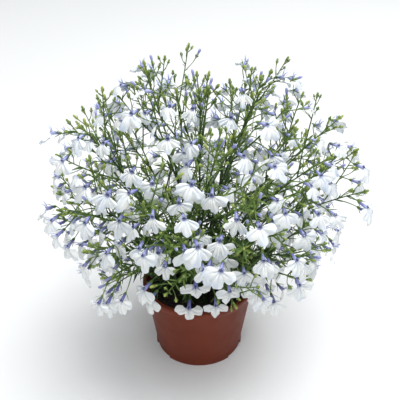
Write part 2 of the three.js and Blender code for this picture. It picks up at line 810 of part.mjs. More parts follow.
// A pedicel, a tube and its petals. The ring at the elbow between pedicel and tube takes half of
// the twist from the hole to the mouth. The petals thin out to their edge, and their back runs
// to the corner of the mouth that is nearest.
function growBloom(body, hole, bloom) {
  const { anchor, base, forward, up, size } = bloom;
  const way = base.clone().sub(anchor).normalize();
  const turn = new THREE.Quaternion().setFromUnitVectors(forward, way);
  const half = new THREE.Quaternion().slerp(turn, 0.5);
  const elbowWay = forward.clone().applyQuaternion(half);
  const holeNormal = normalFor(body, hole, way);
  const mouthNormals = [0, 1, 2].map((i) =>
    up.clone().applyQuaternion(half).applyAxisAngle(elbowWay, (i * 2 * Math.PI) / 3),
  );
  const fits = mouthNormals.map((normal) => normal.dot(holeNormal));
  const shift = fits.indexOf(Math.max(...fits));
  const elbow = ring(body, base, elbowWay, holeNormal.add(mouthNormals[shift]), PEDICEL_RADIUS);
  const behind = inBloom(bloom, vec(-MOUTH_BEHIND, 0, 0));
  const mouth = ring(body, behind, forward, up, MOUTH_RADIUS * size);
  skin(body, hole, elbow);
  skin(body, elbow, [0, 1, 2].map((i) => mouth[(shift + i) % 3]));
  const outline = petalOutline();
  const petals = newCorners(body, outline.map((p) => inBloom(bloom, p)));
  const [throat] = newCorners(body, [inBloom(bloom, THROAT)]);
  const [top, right, left] = mouth;
  const [leftGap, tip, rightGap] = [2, outline.length / 2, outline.length - 2];
  petals.forEach((petal, i) => {
    const back = i < leftGap || i >= rightGap ? top : i < tip ? left : right;
    const next = petals[(i + 1) % petals.length];
    body.faces.push([next, petal, throat], [petal, next, back]);
  });
  body.faces.push([petals[leftGap], left, top]);
  body.faces.push([petals[tip], right, left]);
  body.faces.push([petals[rightGap], top, right]);
}

// A narrow leaf, flat below and ridged above, that is widest at its middle
function growLeaf(body, hole, { anchor, way, length }) {
  const across = body.corners[hole[1]].clone().sub(body.corners[hole[0]]);
  across.addScaledVector(way, -across.dot(way)).normalize();
  const above = vec(0, 0, 0).crossVectors(way, across);
  const middle = anchor.clone().addScaledVector(way, 0.5 * length);
  const left = middle.clone().addScaledVector(across, -LEAF_WIDTH / 2);
  const right = middle.clone().addScaledVector(across, LEAF_WIDTH / 2);
  const ridge = middle.clone().addScaledVector(above, LEAF_THICKNESS);
  const widest = newCorners(body, [left, right, ridge]);
  skin(body, hole, widest);
  point(body, widest, anchor.clone().addScaledVector(way, length));
}

function spraySolid({ curves, blooms, leaves }, radius) {
  const body = { corners: [], faces: [] };
  const childrenOf = (curve) => [
    ...blooms
      .filter((bloom) => bloom.curve === curve)
      .map((bloom) => ({
        t: bloom.t,
        way: bloom.base.clone().sub(bloom.anchor).normalize(),
        grow: (body, hole) => growBloom(body, hole, bloom),
      })),
    ...leaves
      .filter((leaf) => leaf.curve === curve)
      .map((leaf) => ({ ...leaf, grow: (body, hole) => growLeaf(body, hole, leaf) })),
  ];
  const [stem, ...twigs] = curves;
  const branches = twigs.map((twig) => ({
    t: twig.from,
    way: headingOn(twig, 0),
    grow: (body, hole) => growStalk(body, hole, twig, TWIG_RADIUS, childrenOf(twig)),
  }));
  const down = vec(0, 0, -1);
  const foot = stem.start.clone().addScaledVector(down, ROOT_DEPTH);
  const base = ring(body, foot, down.clone().negate(), sideOf(headingOn(stem, 0), 0), radius);
  body.faces.push([...base].reverse());
  growStalk(body, base, stem, radius, [...childrenOf(stem), ...branches]);
  return solidFrom(body.corners, body.faces);
}

// The whole

const looks = {
  pot: { color: 0x6b3325, roughness: 0.45, metalness: 0 },
  peat: { color: 0x1d1511, roughness: 0.95, metalness: 0 },
  foliage: { color: 0x55803a, roughness: 0.6, metalness: 0 },
  bloom: { color: 0xe8ebf7, roughness: 0.6, metalness: 0 },
};

const lobelia = new THREE.Group();
function place(name, solid, look) {
  const mesh = new THREE.Mesh(geometryOf(solid), new THREE.MeshStandardMaterial(looks[look]));
  mesh.name = name;
  lobelia.add(mesh);
}

const { sprays, shoots } = planBush();
const rootOf = ({ curves }, radius) => ({ at: curves[0].start, radius });
const roots = [
  ...sprays.map((spray) => rootOf(spray, STEM_RADIUS)),
  ...shoots.map((shoot) => rootOf(shoot, TWIG_RADIUS)),
];
place("pot", potSolid(), "pot");
place("peat", peatSolid(roots), "peat");
for (const spray of sprays) place(spray.owner, spraySolid(spray, STEM_RADIUS), "bloom");
for (const shoot of shoots) place(shoot.owner, spraySolid(shoot, TWIG_RADIUS), "foliage");

export default lobelia;
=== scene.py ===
# %% [markdown]
# # A potted edging lobelia
# This lesson dresses a small potted plant. Its solids come ready made, as a fixed frame: a pot, the peat
# and one solid for each spray of the bush. A finer piece stands for each of them here: smooth plastic,
# crumbly peat, round stems, and blooms with bent petals. The frame is loaded first, because every piece
# is placed from it, and its box is kept so that the finished plant can be measured against it.

# %% Load the frame
import itertools
import math

import bmesh
import bpy
import numpy as np
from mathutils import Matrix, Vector


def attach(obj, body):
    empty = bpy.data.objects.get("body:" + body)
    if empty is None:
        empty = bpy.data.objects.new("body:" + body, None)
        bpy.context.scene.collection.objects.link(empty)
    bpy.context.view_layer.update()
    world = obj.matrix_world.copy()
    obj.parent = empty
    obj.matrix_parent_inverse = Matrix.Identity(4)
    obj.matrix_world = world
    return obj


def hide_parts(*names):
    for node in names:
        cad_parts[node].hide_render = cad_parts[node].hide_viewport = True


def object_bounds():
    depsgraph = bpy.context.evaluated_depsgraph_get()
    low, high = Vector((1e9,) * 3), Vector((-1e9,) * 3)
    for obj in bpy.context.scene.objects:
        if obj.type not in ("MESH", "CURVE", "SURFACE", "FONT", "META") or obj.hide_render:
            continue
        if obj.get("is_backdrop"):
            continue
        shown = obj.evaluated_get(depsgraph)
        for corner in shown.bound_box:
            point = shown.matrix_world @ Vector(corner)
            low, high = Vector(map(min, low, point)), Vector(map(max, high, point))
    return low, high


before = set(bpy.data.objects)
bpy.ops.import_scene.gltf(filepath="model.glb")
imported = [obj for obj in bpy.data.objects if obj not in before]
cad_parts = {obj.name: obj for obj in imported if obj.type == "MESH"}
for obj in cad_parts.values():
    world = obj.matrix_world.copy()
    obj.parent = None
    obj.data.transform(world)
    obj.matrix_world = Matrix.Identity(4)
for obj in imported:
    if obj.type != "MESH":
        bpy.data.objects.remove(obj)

cad_low, cad_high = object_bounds()
print("frame in mm:", [round(1000 * v) for v in cad_high - cad_low], "with", len(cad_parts), "nodes")

# %% [markdown]
# ## The camera
# The plant stands on a table and is seen from its front, from about a third of the way up to overhead. A
# long lens from half a metre or more keeps the pot's sides nearly parallel. Turning a camera by 90
# degrees about X makes it look level along +Y, so a smaller turn makes it look down. Its place follows
# from how wide the pot's lip and foot look in such a view.

# %% Place the camera
CAMERA_PLACE = (0.0009, -0.5308, 0.4759)
LOOKING_DOWN = math.radians(32.65)
LENS = 75.33
PLANT_MIDDLE = (0, 0, 0.1)

camera = bpy.data.objects.new("camera", bpy.data.cameras.new("camera"))
bpy.context.scene.collection.objects.link(camera)
bpy.context.scene.camera = camera
camera.location = CAMERA_PLACE
camera.rotation_euler = (math.pi / 2 - LOOKING_DOWN, 0, 0)
camera.data.lens = LENS
print("camera", round(math.dist(CAMERA_PLACE, PLANT_MIDDLE), 2), "m from the plant")

# %% [markdown]
# ## The plan of the bush
# A bush of lobelia is loose, but not random: thin stems rise from the peat, lean out to all sides and
# fork, and the blooms stand on long stalks near the tips. The frame's sprays were laid out by a rule with
# seeded chance, so the same rule with the same numbers finds each stem, twig and bloom again here, in
# millimetres. Plain Python numbers are used for it, because they are as exact as those that the frame was
# made with. Blender's own vectors are shorter, and one different answer would send a whole spray
# elsewhere.

# %% Sizes of the pot and the bush
ROOT_TOP = 55.0
RIM_RADIUS = 45.0
POT_HEIGHT = 62.0
# The bush is a flattened ball with full shoulders, which narrows towards its foot, most on its right
HEART = (5.0, 0.0, 147.0)
BUSH_RADIUS = 114.0
BUSH_RISE = 82.0
FULLNESS = 2.4
STEM_RADIUS = 1.15
TWIG_RADIUS = 0.8
TIP_RADIUS = 0.5
FULL_TURN = 2 * math.pi
print("a bush of", 2 * BUSH_RADIUS, "mm across on a pot of", 2 * RIM_RADIUS, "mm")


# %% Points and ways, as three plain numbers
def plus(a, b, share=1.0):
    return (a[0] + b[0] * share, a[1] + b[1] * share, a[2] + b[2] * share)


def times(a, k):
    return (a[0] * k, a[1] * k, a[2] * k)


def toward(a, b, share):
    return tuple(p + (q - p) * share for p, q in zip(a, b))


def dot(a, b):
    return a[0] * b[0] + a[1] * b[1] + a[2] * b[2]


def cross(a, b):
    return (a[1] * b[2] - a[2] * b[1], a[2] * b[0] - a[0] * b[2], a[0] * b[1] - a[1] * b[0])


def unit(a):
    return times(a, 1 / math.sqrt(dot(a, a)))


def mix(a, b, share):
    return a + (b - a) * share


print("a right angle check:", cross((1, 0, 0), (0, 1, 0)))

# %% Chance, the same on every run
SEED = 224
GOLDEN_TURN = math.pi * (3 - math.sqrt(5))
TRIES = 20
FACTOR, MODULUS = 48271, 2147483647
drawn = SEED


def between(least, most):
    """The next number of a row that looks random, but is the same on every run"""
    global drawn
    drawn = drawn * FACTOR % MODULUS
    return mix(least, most, drawn / MODULUS)


print("seed", SEED)

# %% [markdown]
# ### Room
# In the frame no piece may cross another, so each one that is placed is remembered as a row of beads, and
# a new one is only taken where its own beads are clear of them. Comparing every bead with every other
# would be slow. The beads are kept in a grid of cells instead, so that only those in neighbouring cells
# are looked at.

# %% Remember beads, first those of the pot's rim
CELL = 10.0
RIM_INWARD, RIM_DOWN, RIM_BEAD_RADIUS = 2.2, 2, 2.6
cells = {}


def cell_of(p):
    """The cell of the grid that a point lies in"""
    return tuple(math.floor(v / CELL) for v in p)


def settle(beads, stalk=None):
    """Remember beads, and the stem that they belong to"""
    for at, radius in beads:
        cells.setdefault(cell_of(at), []).append((at, radius, stalk))


def settle_rim():
    ring = RIM_RADIUS - RIM_INWARD
    count = round(ring * math.pi)
    for i in range(count):
        turn = i / count * FULL_TURN
        at = (ring * math.cos(turn), ring * math.sin(turn), POT_HEIGHT - RIM_DOWN)
        settle([(at, RIM_BEAD_RADIUS)])


settle_rim()
print("cells with beads of the pot's rim:", len(cells))

# %% Test for room
CLEARANCE = 0.6
ROOT_REACH = 6.0
# Over the front of the pot, nothing hangs below a slope
SLOPE_FROM, SLOPE_LOW, SLOPE_RISE = -20.0, 20.0, 0.87


def lowest_at(y):
    """How low a piece may hang at this distance before the pot"""
    return SLOPE_LOW - SLOPE_RISE * y if y < SLOPE_FROM else 0.0


def blocked(at, radius, stalk, anchor):
    """Whether a bead meets another piece. Beads of its own stalk don't count near its anchor"""
    if math.hypot(at[0], at[1]) < RIM_RADIUS and at[2] < ROOT_TOP + radius:
        return True
    if at[2] < lowest_at(at[1]):
        return True
    near = math.dist(at, anchor) < ROOT_REACH
    for cell in itertools.product(*((i - 1, i, i + 1) for i in cell_of(at))):
        for other, other_radius, other_stalk in cells.get(cell, ()):
            if near and other_stalk is stalk:
                continue
            if math.dist(at, other) < radius + other_radius + CLEARANCE:
                return True
    return False


def is_clear(beads, stalk, anchor):
    return not any(blocked(at, radius, stalk, anchor) for at, radius in beads)


print("room in the heart of the bush:", is_clear([(HEART, 1)], None, HEART))

# %% [markdown]
# ### Stems and twigs
# A stem bends in one soft sweep from the peat to its tip. Three points are enough for that: where it
# starts, where it ends, and a knee that pulls it aside. Blender draws such a bend as a Bezier curve, and
# its formula is short enough to write out here, which also gives the way that the stem heads at any
# place.


# %% Curves
STEM_SEGMENTS = 6
TWIG_SEGMENTS = 2
FRONT_STEM = ((-8.3, -26.8, ROOT_TOP), (-10.0, -38.0, 100.0), (-14.0, -66.0, 150.0))


class Curve:
    """A bent stem, the number of its straight segments in the frame, and where a twig leaves its stem"""

    def __init__(self, start, knee, tip, segments, leaves_at=None):
        self.start, self.knee, self.tip = start, knee, tip
        self.segments = segments
        self.leaves_at = leaves_at


def bend_at(curve, t):
    """A point on the true bend, from 0 at its start to 1 at its tip"""
    s = 1 - t
    start = times(curve.start, s * s)
    return plus(plus(start, curve.knee, 2 * s * t), curve.tip, t * t)


def point_on(curve, t):
    """A point on the straight segments that stand for the bend in the frame"""
    along = t * curve.segments
    i = min(math.floor(along), curve.segments - 1)
    ends = [bend_at(curve, n / curve.segments) for n in (i, i + 1)]
    return toward(*ends, along - i)


def heading_on(curve, t):
    """The way that the bend heads here"""
    start = times(curve.start, t - 1)
    return unit(plus(plus(start, curve.knee, 1 - 2 * t), curve.tip, t))


front_stem = Curve(*FRONT_STEM, STEM_SEGMENTS)
print("halfway up the front stem:", [round(v, 1) for v in bend_at(front_stem, 0.5)])

# %% Ways off a stem, and beads along it
UPRIGHT = 0.05
BEAD_STEP = 1.5
BUD_LENGTH = 6.5
BUD_RADIUS = 1.4
BUD_BEADS = (0.35, 0.75)


def side_of(heading, turn):
    """A way that is square to a heading, turned about it"""
    level = (-heading[1], heading[0], 0.0)
    if math.hypot(*level) < UPRIGHT:
        level = (1.0, 0.0, 0.0)
    level = unit(level)
    return plus(times(level, math.cos(turn)), cross(heading, level), math.sin(turn))


def lean(heading, turn, angle):
    """A way that leans off a heading"""
    return plus(times(side_of(heading, turn), math.sin(angle)), heading, math.cos(angle))


def beads_between(a, b, radius, begin=0.0):
    """A row of beads from a to b, or from a little way along it"""
    count = math.ceil(math.dist(a, b) / BEAD_STEP)
    return [(toward(a, b, mix(begin, 1, i / count)), radius) for i in range(count + 1)]


def stalk_beads(curve, radius):
    """The beads of a stem and of the bud at its tip"""
    beads = []
    for i in range(curve.segments):
        ends = [bend_at(curve, n / curve.segments) for n in (i, i + 1)]
        beads += beads_between(*ends, radius)
    heading = heading_on(curve, 1)
    return beads + [(plus(curve.tip, heading, s * BUD_LENGTH), BUD_RADIUS) for s in BUD_BEADS]


print("the front stem's beads:", len(stalk_beads(front_stem, STEM_RADIUS)))

# %% [markdown]
# ### Where the stems go
# The tips follow a sunflower's spiral over the skin of a flattened ball, which spaces them evenly on all
# sides. The ball narrows towards the pot, and more so on its right. The roots follow the same spiral in
# the peat, so that the stems fan out and don't cross. Low tips get a higher knee: their stems rise first
# and then hang over, as weak stems do. One more spray stands upright and fills the middle from above.

# %% Plan the stems
SPRAYS = 28
LOWEST_TIP = -0.8
NARROWING = 0.25
NARROWER_RIGHT = 0.25
TIP_MARGIN = 9.0
ROOT_SPREAD = 25.0
REACHES = (0.93, 1)
KNEE_SHARE = 0.22
KNEE_SHIFTS = (-6, 6)
ARCH = 55.0
ARCH_POWER = 1.5


def depth_of(p):
    """How far out a point lies, from 0 at the heart of the bush to 1 at its skin"""
    flat = math.hypot(p[0] - HEART[0], p[1] - HEART[1]) / BUSH_RADIUS
    rise = abs(p[2] - HEART[2]) / BUSH_RISE
    return (flat**FULLNESS + rise**FULLNESS) ** (1 / FULLNESS)


def stem_to(root, tip, arch):
    """A stem from a root to a tip, its knee raised by an arch, or None where that has no room"""
    x, y = (v + between(*KNEE_SHIFTS) for v in toward(root, tip, KNEE_SHARE)[:2])
    curve = Curve(root, (x, y, (ROOT_TOP + tip[2]) / 2 + arch), tip, STEM_SEGMENTS)
    lowest = ROOT_TOP + STEM_RADIUS
    beads = [bead for bead in stalk_beads(curve, STEM_RADIUS) if bead[0][2] > lowest]
    if not is_clear(beads, curve, root):
        return None
    settle(beads, curve)
    return curve


def plan_stem(k):
    """A stem to its own place on the spiral, or to one further in if that has no room"""
    level = mix(1, LOWEST_TIP, (k + 0.5) / SPRAYS)
    turn = k * GOLDEN_TURN
    out = (math.cos(turn), math.sin(turn), 0.0)
    root = plus((0.0, 0.0, ROOT_TOP), out, ROOT_SPREAD * math.sqrt((k + 0.5) / SPRAYS))
    for _ in range(TRIES):
        reach = between(*REACHES)
        full = (1 - abs(level) ** FULLNESS) ** (1 / FULLNESS)
        narrowing = NARROWING + NARROWER_RIGHT * max(out[0], 0)
        outward = full * (1 + narrowing * min(level, 0))
        tip = plus(HEART, out, BUSH_RADIUS * outward * reach)
        tip = plus(tip, (0.0, 0.0, BUSH_RISE * level * reach))
        tip = (tip[0], tip[1], max(tip[2], lowest_at(tip[1]) + TIP_MARGIN))
        stem = stem_to(root, tip, ARCH * ((1 - level) / 2) ** ARCH_POWER)
        if stem:
            return stem
    return None


print("the front stem's tip is", round(depth_of(front_stem.tip), 2), "of the way out")

# %% Plan the stem in the middle of the bush
TOP_ROOT = (-4.5, -3.5, ROOT_TOP)
TOP_TIP = (7.0, -3.0, 224.0)
TOP_SHIFTS = (-9, 9)
TOP_TRIES = 60


def plan_top_stem():
    """The stem in the middle of the bush"""
    for _ in range(TOP_TRIES):
        shift = (between(*TOP_SHIFTS), between(*TOP_SHIFTS), 0.0)
        stem = stem_to(TOP_ROOT, plus(TOP_TIP, shift), 0)
        if stem:
            return stem
    return None


print("its tip is about", TOP_TIP[2], "mm above the table")

# %% Plan the twigs
TWIG_STARTS = (0.5, 0.68)
TOP_TWIG_STARTS = (0.68, 0.5)
TWIG_LEAN = math.radians(38)
TWIG_SHORTEST = 0.6
TWIG_KNEE, TWIG_END, TWIG_TURNED_UP = 0.5, 0.3, 0.25


def plan_twig(stem, start):
    """A twig, turned about its stem and made shorter until it has room, or None"""
    anchor, heading = point_on(stem, start), heading_on(stem, start)
    left = math.dist(anchor, stem.tip)
    turn = between(0, FULL_TURN)
    for i in range(TRIES):
        way = lean(heading, turn + i * GOLDEN_TURN, TWIG_LEAN)
        length = left * mix(1, TWIG_SHORTEST, i / TRIES)
        knee = plus(anchor, way, TWIG_KNEE * length)
        tip = plus(plus(knee, way, TWIG_END * length), heading, TWIG_TURNED_UP * length)
        curve = Curve(anchor, knee, tip, TWIG_SEGMENTS, start)
        beads = stalk_beads(curve, TWIG_RADIUS)
        if depth_of(tip) < 1 and is_clear(beads, stem, anchor):
            settle(beads, curve)
            return curve
    return None


print("twigs lean by", round(math.degrees(TWIG_LEAN)), "degrees")

# %% [markdown]
# ### Where the blooms and leaves go
# Each bloom faces away from the heart of the bush, and the lower ones nod more. A bloom has its own
# frame: forward along its tube, left, and up. With the three ways of that frame, any point of a bloom can
# be given once, as so much forward, left and up, and set in its place on the plant. At the front left a
# patch of the dark peat shows, so the blooms that would hang before it are left out again at the end.


# %% A bloom's frame
TUBE_LENGTH = 7.5
LIP_DROOP = math.radians(50)


class Bloom:
    """Where a bloom's tube begins, its three ways, its size, and later the stem that it stands on"""

    def __init__(self, base, facing, nod, roll, size):
        level = unit((facing[0], facing[1], 0.0))
        forward = plus(times(level, math.cos(nod)), (0.0, 0.0, -math.sin(nod)))
        side = unit((-facing[1], facing[0], 0.0))
        tipped = plus(times(side, math.cos(roll)), cross(forward, side), math.sin(roll))
        self.base, self.forward, self.size = base, forward, size
        self.left = plus(tipped, forward, dot(forward, side) * (1 - math.cos(roll)))
        self.up = cross(forward, self.left)
        self.curve = self.stand = self.anchor = None

    def at(self, x, y, z):
        """A point of the bloom, as so much forward of its throat, left and up"""
        forward = plus(self.base, self.forward, self.size * (TUBE_LENGTH + x))
        return plus(plus(forward, self.left, self.size * y), self.up, self.size * z)

    def standing(self, curve, stand, anchor):
        self.curve, self.stand, self.anchor = curve, stand, anchor
        return self


def on_lip(down, across, proud, droop=LIP_DROOP):
    """A place on the lip, by how far down it, across it and proud of it"""
    c, s = math.cos(droop), math.sin(droop)
    return (down * c + proud * s, across, proud * c - down * s)


straight = Bloom((0, 0, 0), (0, -1, 0), 0, 0, 1)
print("a straight bloom's ways:", straight.forward, straight.left, straight.up)

# %% The room that a bloom takes
PEDICEL_RADIUS = 0.5
PEDICEL_BEADS_FROM = 0.1
LIP_BEADS = (
    (2, 0, 0),
    (1.8, 4.5, 0),
    (5.2, 5.8, 0),
    (2, 7.8, -0.6),
    (5.2, 8.2, -0.6),
    (8, 1.8, 0),
    (11.2, 1.7, -0.5),
)
LIP_BEAD_RADIUS = 2.4
EAR_BEADS = ((1, 1.2, 3), (2, 2, 5.2))
EAR_BEAD_RADIUS = 1.0
TUBE_BEADS = (-6, -4, -2)
TUBE_BEAD_RADIUS = 1.5


def bloom_beads(bloom, anchor):
    beads = beads_between(anchor, bloom.base, PEDICEL_RADIUS, PEDICEL_BEADS_FROM)
    beads += [(bloom.at(x, 0, 0), TUBE_BEAD_RADIUS) for x in TUBE_BEADS]
    for side in (1, -1):
        for down, across, proud in LIP_BEADS:
            beads.append((bloom.at(*on_lip(down, side * across, proud)), LIP_BEAD_RADIUS))
        beads += [(bloom.at(x, side * y, z), EAR_BEAD_RADIUS) for x, y, z in EAR_BEADS]
    return beads


print("beads of one bloom:", len(bloom_beads(straight, (0, 20, 0))))

# %% Plan the blooms
PEDICEL_LENGTH = 21.0
PEDICEL_SHARES = (0.7, 1.15)
PEDICEL_LEANS = (44, 70)
BLOOM_SIZES = (0.78, 0.98)
NODS = (2, 48)
NOD_HEIGHTS = (215, 70)
NOD_CHANCE = (-11, 11)
ROLL_CHANCE = (-20, 20)
ALONG_PEDICEL = 0.5
TO_THE_LIGHT = (0.0, -0.12, 0.0)
MOST_BACKWARD = -0.2
FARTHEST_BASE = 1.03


def plan_bloom(curve, t):
    """A bloom that has room at this place of a stem, or None"""
    top, foot = NOD_HEIGHTS
    anchor, heading = point_on(curve, t), heading_on(curve, t)
    turn = between(0, FULL_TURN)
    for i in range(TRIES):
        way = lean(heading, turn + i * GOLDEN_TURN, math.radians(between(*PEDICEL_LEANS)))
        base = plus(anchor, way, PEDICEL_LENGTH * between(*PEDICEL_SHARES))
        low = min(max((top - base[2]) / (top - foot), 0), 1)
        nod = math.radians(mix(*NODS, low) + between(*NOD_CHANCE))
        roll = math.radians(between(*ROLL_CHANCE))
        facing = times((base[0] - HEART[0], base[1] - HEART[1], 0.0), 1 / BUSH_RADIUS)
        facing = plus(plus(facing, way, ALONG_PEDICEL), TO_THE_LIGHT)
        bloom = Bloom(base, facing, nod, roll, between(*BLOOM_SIZES))
        if dot(way, bloom.forward) < MOST_BACKWARD or depth_of(base) >= FARTHEST_BASE:
            continue
        beads = bloom_beads(bloom, anchor)
        if is_clear(beads, curve, anchor):
            settle(beads)
            return bloom.standing(curve, t, anchor)
    return None


print("blooms on stalks of", PEDICEL_LENGTH, "mm")

# %% Plan the leaves
LEAF_LENGTH = 15.0
LEAF_WIDTH = 3.2
LEAF_BEADS_FROM = 0.15


class Leaf:
    """How far along its stem a leaf stands, its place, its way and its length"""

    def __init__(self, stand, anchor, way, length):
        self.stand, self.anchor = stand, anchor
        self.way, self.length = way, length


def plan_leaf(curve, t, leaning, length):
    anchor, heading = point_on(curve, t), heading_on(curve, t)
    turn = between(0, FULL_TURN)
    for i in range(TRIES):
        way = lean(heading, turn + i * GOLDEN_TURN, leaning)
        tip = plus(anchor, way, length)
        beads = beads_between(anchor, tip, LEAF_WIDTH / 2, LEAF_BEADS_FROM)
        if is_clear(beads, curve, anchor):
            settle(beads)
            return Leaf(t, anchor, way, length)
    return None


print("leaves of", LEAF_LENGTH, "mm")

# %% A spray, and the room before its blooms
# Room that stays free before some blooms and the bare peat, towards the front
TO_THE_FRONT = (0.0, -0.84, 0.54)
FRONT_STEPS = (12, 22, 32, 42, 52, 62)
FRONT_ROOM = 6.8


class Spray:
    """A node of the frame: its stem and twigs, with what they carry"""

    def __init__(self, node, curves):
        self.node, self.curves = node, curves
        self.blooms, self.leaves = [], []


def room_before(at):
    """Beads that keep the view to a place free"""
    return [(plus(at, TO_THE_FRONT, step), FRONT_ROOM) for step in FRONT_STEPS]


print("beads that keep the view to a place free:", len(room_before(HEART)))

# %% Plan the front spray
FRONT_TWIG_START = 0.45
FRONT_TWIG = ((-3.0, -46.0, 104.0), (5.0, -54.0, 112.0))
# Each bloom: its curve, its stand along it, its place, its turn and nod in degrees, and its size
FRONT_BLOOMS = (
    (0, 0.7, (-2.2, -64.0, 113.0), 0, 50, 1.02),
    (0, 0.62, (-30.0, -62.0, 98.0), -50, 33, 1.0),
    (0, 0.74, (-33.0, -72.0, 114.5), -50, 30, 0.95),
    (1, 0.3, (-6.5, -57.0, 87.0), -6, 38, 0.98),
    (1, 0.85, (12.0, -60.0, 91.0), 3, 48, 0.84),
)
BARE_PEAT = (-19.0, -36.0, 62.0)
LIP_MIDDLE = (3, 0, 0)


def plan_front_spray():
    start = point_on(front_stem, FRONT_TWIG_START)
    twig = Curve(start, *FRONT_TWIG, TWIG_SEGMENTS, FRONT_TWIG_START)
    spray = Spray("spray_front", [front_stem, twig])
    settle(stalk_beads(front_stem, STEM_RADIUS), front_stem)
    settle(stalk_beads(twig, TWIG_RADIUS), twig)
    settle(room_before(BARE_PEAT))
    for number, t, at, turn, nod, size in FRONT_BLOOMS:
        curve = spray.curves[number]
        facing = (math.sin(math.radians(turn)), -math.cos(math.radians(turn)), 0.0)
        bloom = Bloom(at, facing, math.radians(nod), 0, size)
        bloom.standing(curve, t, point_on(curve, t))
        settle(bloom_beads(bloom, bloom.anchor))
        settle(room_before(bloom.at(*LIP_MIDDLE)))
        spray.blooms.append(bloom)
    return spray


sprays = [plan_front_spray()]
placed = list(sprays[0].blooms)
print(len(placed), "blooms hang over the front of the pot")

# %% Plan the shoots
SHOOTS = 8
SHOOT_RING = 31.5
SHOOT_HEIGHT = 24.0
SHOOT_SPREAD = 9.0
SHOOT_SPREADS = (0.6, 1.1)
SHOOT_HEIGHTS = (0.7, 1.1)
SHOOT_KNEE = 0.6
SHOOT_LEAVES = 5
SHOOT_LEAF_LENGTH = 0.75 * LEAF_LENGTH
SHOOT_LEAVES_FROM, SHOOT_LEAVES_TO = 0.25, 0.97
LEAF_LEAN = math.radians(50)
SHOOT_TOP_LEAN = math.radians(20)
# No shoot grows in this part of the ring, where the bare peat shows
BARE_START = math.radians(-135)
BARE_TURN = math.radians(70)


def plan_shoot(j):
    """A leafy shoot at its place in the ring"""
    turn = BARE_START + BARE_TURN + ((j + 0.5) / SHOOTS) * (FULL_TURN - BARE_TURN)
    out = (math.cos(turn), math.sin(turn), 0.0)
    root = plus((0.0, 0.0, ROOT_TOP), out, SHOOT_RING)
    knee = plus(root, (0.0, 0.0, SHOOT_KNEE * SHOOT_HEIGHT))
    tip = plus(root, out, SHOOT_SPREAD * between(*SHOOT_SPREADS))
    tip = plus(tip, (0.0, 0.0, SHOOT_HEIGHT * between(*SHOOT_HEIGHTS)))
    curve = Curve(root, knee, tip, TWIG_SEGMENTS)
    settle(stalk_beads(curve, TWIG_RADIUS), curve)
    shoot = Spray(f"shoot_{j + 1}", [curve])
    for i in range(SHOOT_LEAVES):
        t = mix(SHOOT_LEAVES_FROM, SHOOT_LEAVES_TO, i / (SHOOT_LEAVES - 1))
        leaning = mix(LEAF_LEAN, SHOOT_TOP_LEAN, t * t)
        shoot.leaves.append(plan_leaf(curve, t, leaning, SHOOT_LEAF_LENGTH))
    return shoot


print("shoots", SHOOT_HEIGHT, "mm high")

# %% Plan all the sprays and shoots, in the order of the frame's own plan
STEM_BLOOMS = (0.94, 0.88, 0.78, 0.64, 0.55)
TWIG_BLOOMS = (0.93, 0.7, 0.42)
TOP_BLOOMS = (0.94, 0.84)
# Bare peat shows at the front left, so no bloom hangs before it
BARE_LEFT, BARE_RIGHT, BARE_FRONT = -40.0, -8.0, -60.0
VIEW_FALL, VIEW_LOW = 0.8, 70.0


def hides_peat(point):
    """Whether a bloom here would hide the bare peat from someone who looks down over the front"""
    x, y, z = point
    return BARE_LEFT < x < BARE_RIGHT and y < BARE_FRONT and z + VIEW_FALL * y < VIEW_LOW


def add_twigs(spray, starts):
    """Twigs from these places of the spray's stem, where there is room"""
    twigs = [plan_twig(spray.curves[0], start) for start in starts]
    spray.curves += [twig for twig in twigs if twig]


def add_blooms(spray, stem_blooms):
    """Blooms along the spray's stem and twigs. A place without room stays empty"""
    for number, curve in enumerate(spray.curves):
        spray.blooms += [plan_bloom(curve, t) for t in (TWIG_BLOOMS if number else stem_blooms)]


sprays += [Spray(f"spray_{k + 1:02d}", [plan_stem(k)]) for k in range(SPRAYS)]
for spray in sprays[1:]:
    add_twigs(spray, TWIG_STARTS)
shoots = [plan_shoot(j) for j in range(SHOOTS)]
for spray in sprays:
    add_blooms(spray, STEM_BLOOMS)
sprays.append(Spray("spray_top", [plan_top_stem()]))
add_twigs(sprays[-1], TOP_TWIG_STARTS)
add_blooms(sprays[-1], TOP_BLOOMS)
for spray in sprays + shoots:
    spray.blooms = [b for b in spray.blooms if b and (b in placed or not hides_peat(b.base))]
    spray.leaves = [leaf for leaf in spray.leaves if leaf]
print(sum(len(spray.blooms) for spray in sprays), "blooms on", len(sprays), "sprays")

# %% [markdown]
# ## From points to pieces
# Everything on this plant is a sheet or a tube. A petal or a leaf is a grid of points, row by row, and a
# stem is a grid whose rows close into rings. So one small gatherer is enough: it takes such grids,
# numbers their four-cornered faces, and turns the lot into one Blender mesh at the end. Making one mesh
# of many grids is much quicker in Blender than making and joining many objects. Each point also carries
# three marks that the finishes read later: how far along it lies, how far across, and a tone of its own.

# %% Gather grids into one piece
METRES = 0.001
MARKS = ("along", "across", "tone")
# For a mark that the piece's finish doesn't read
UNREAD = 0.5


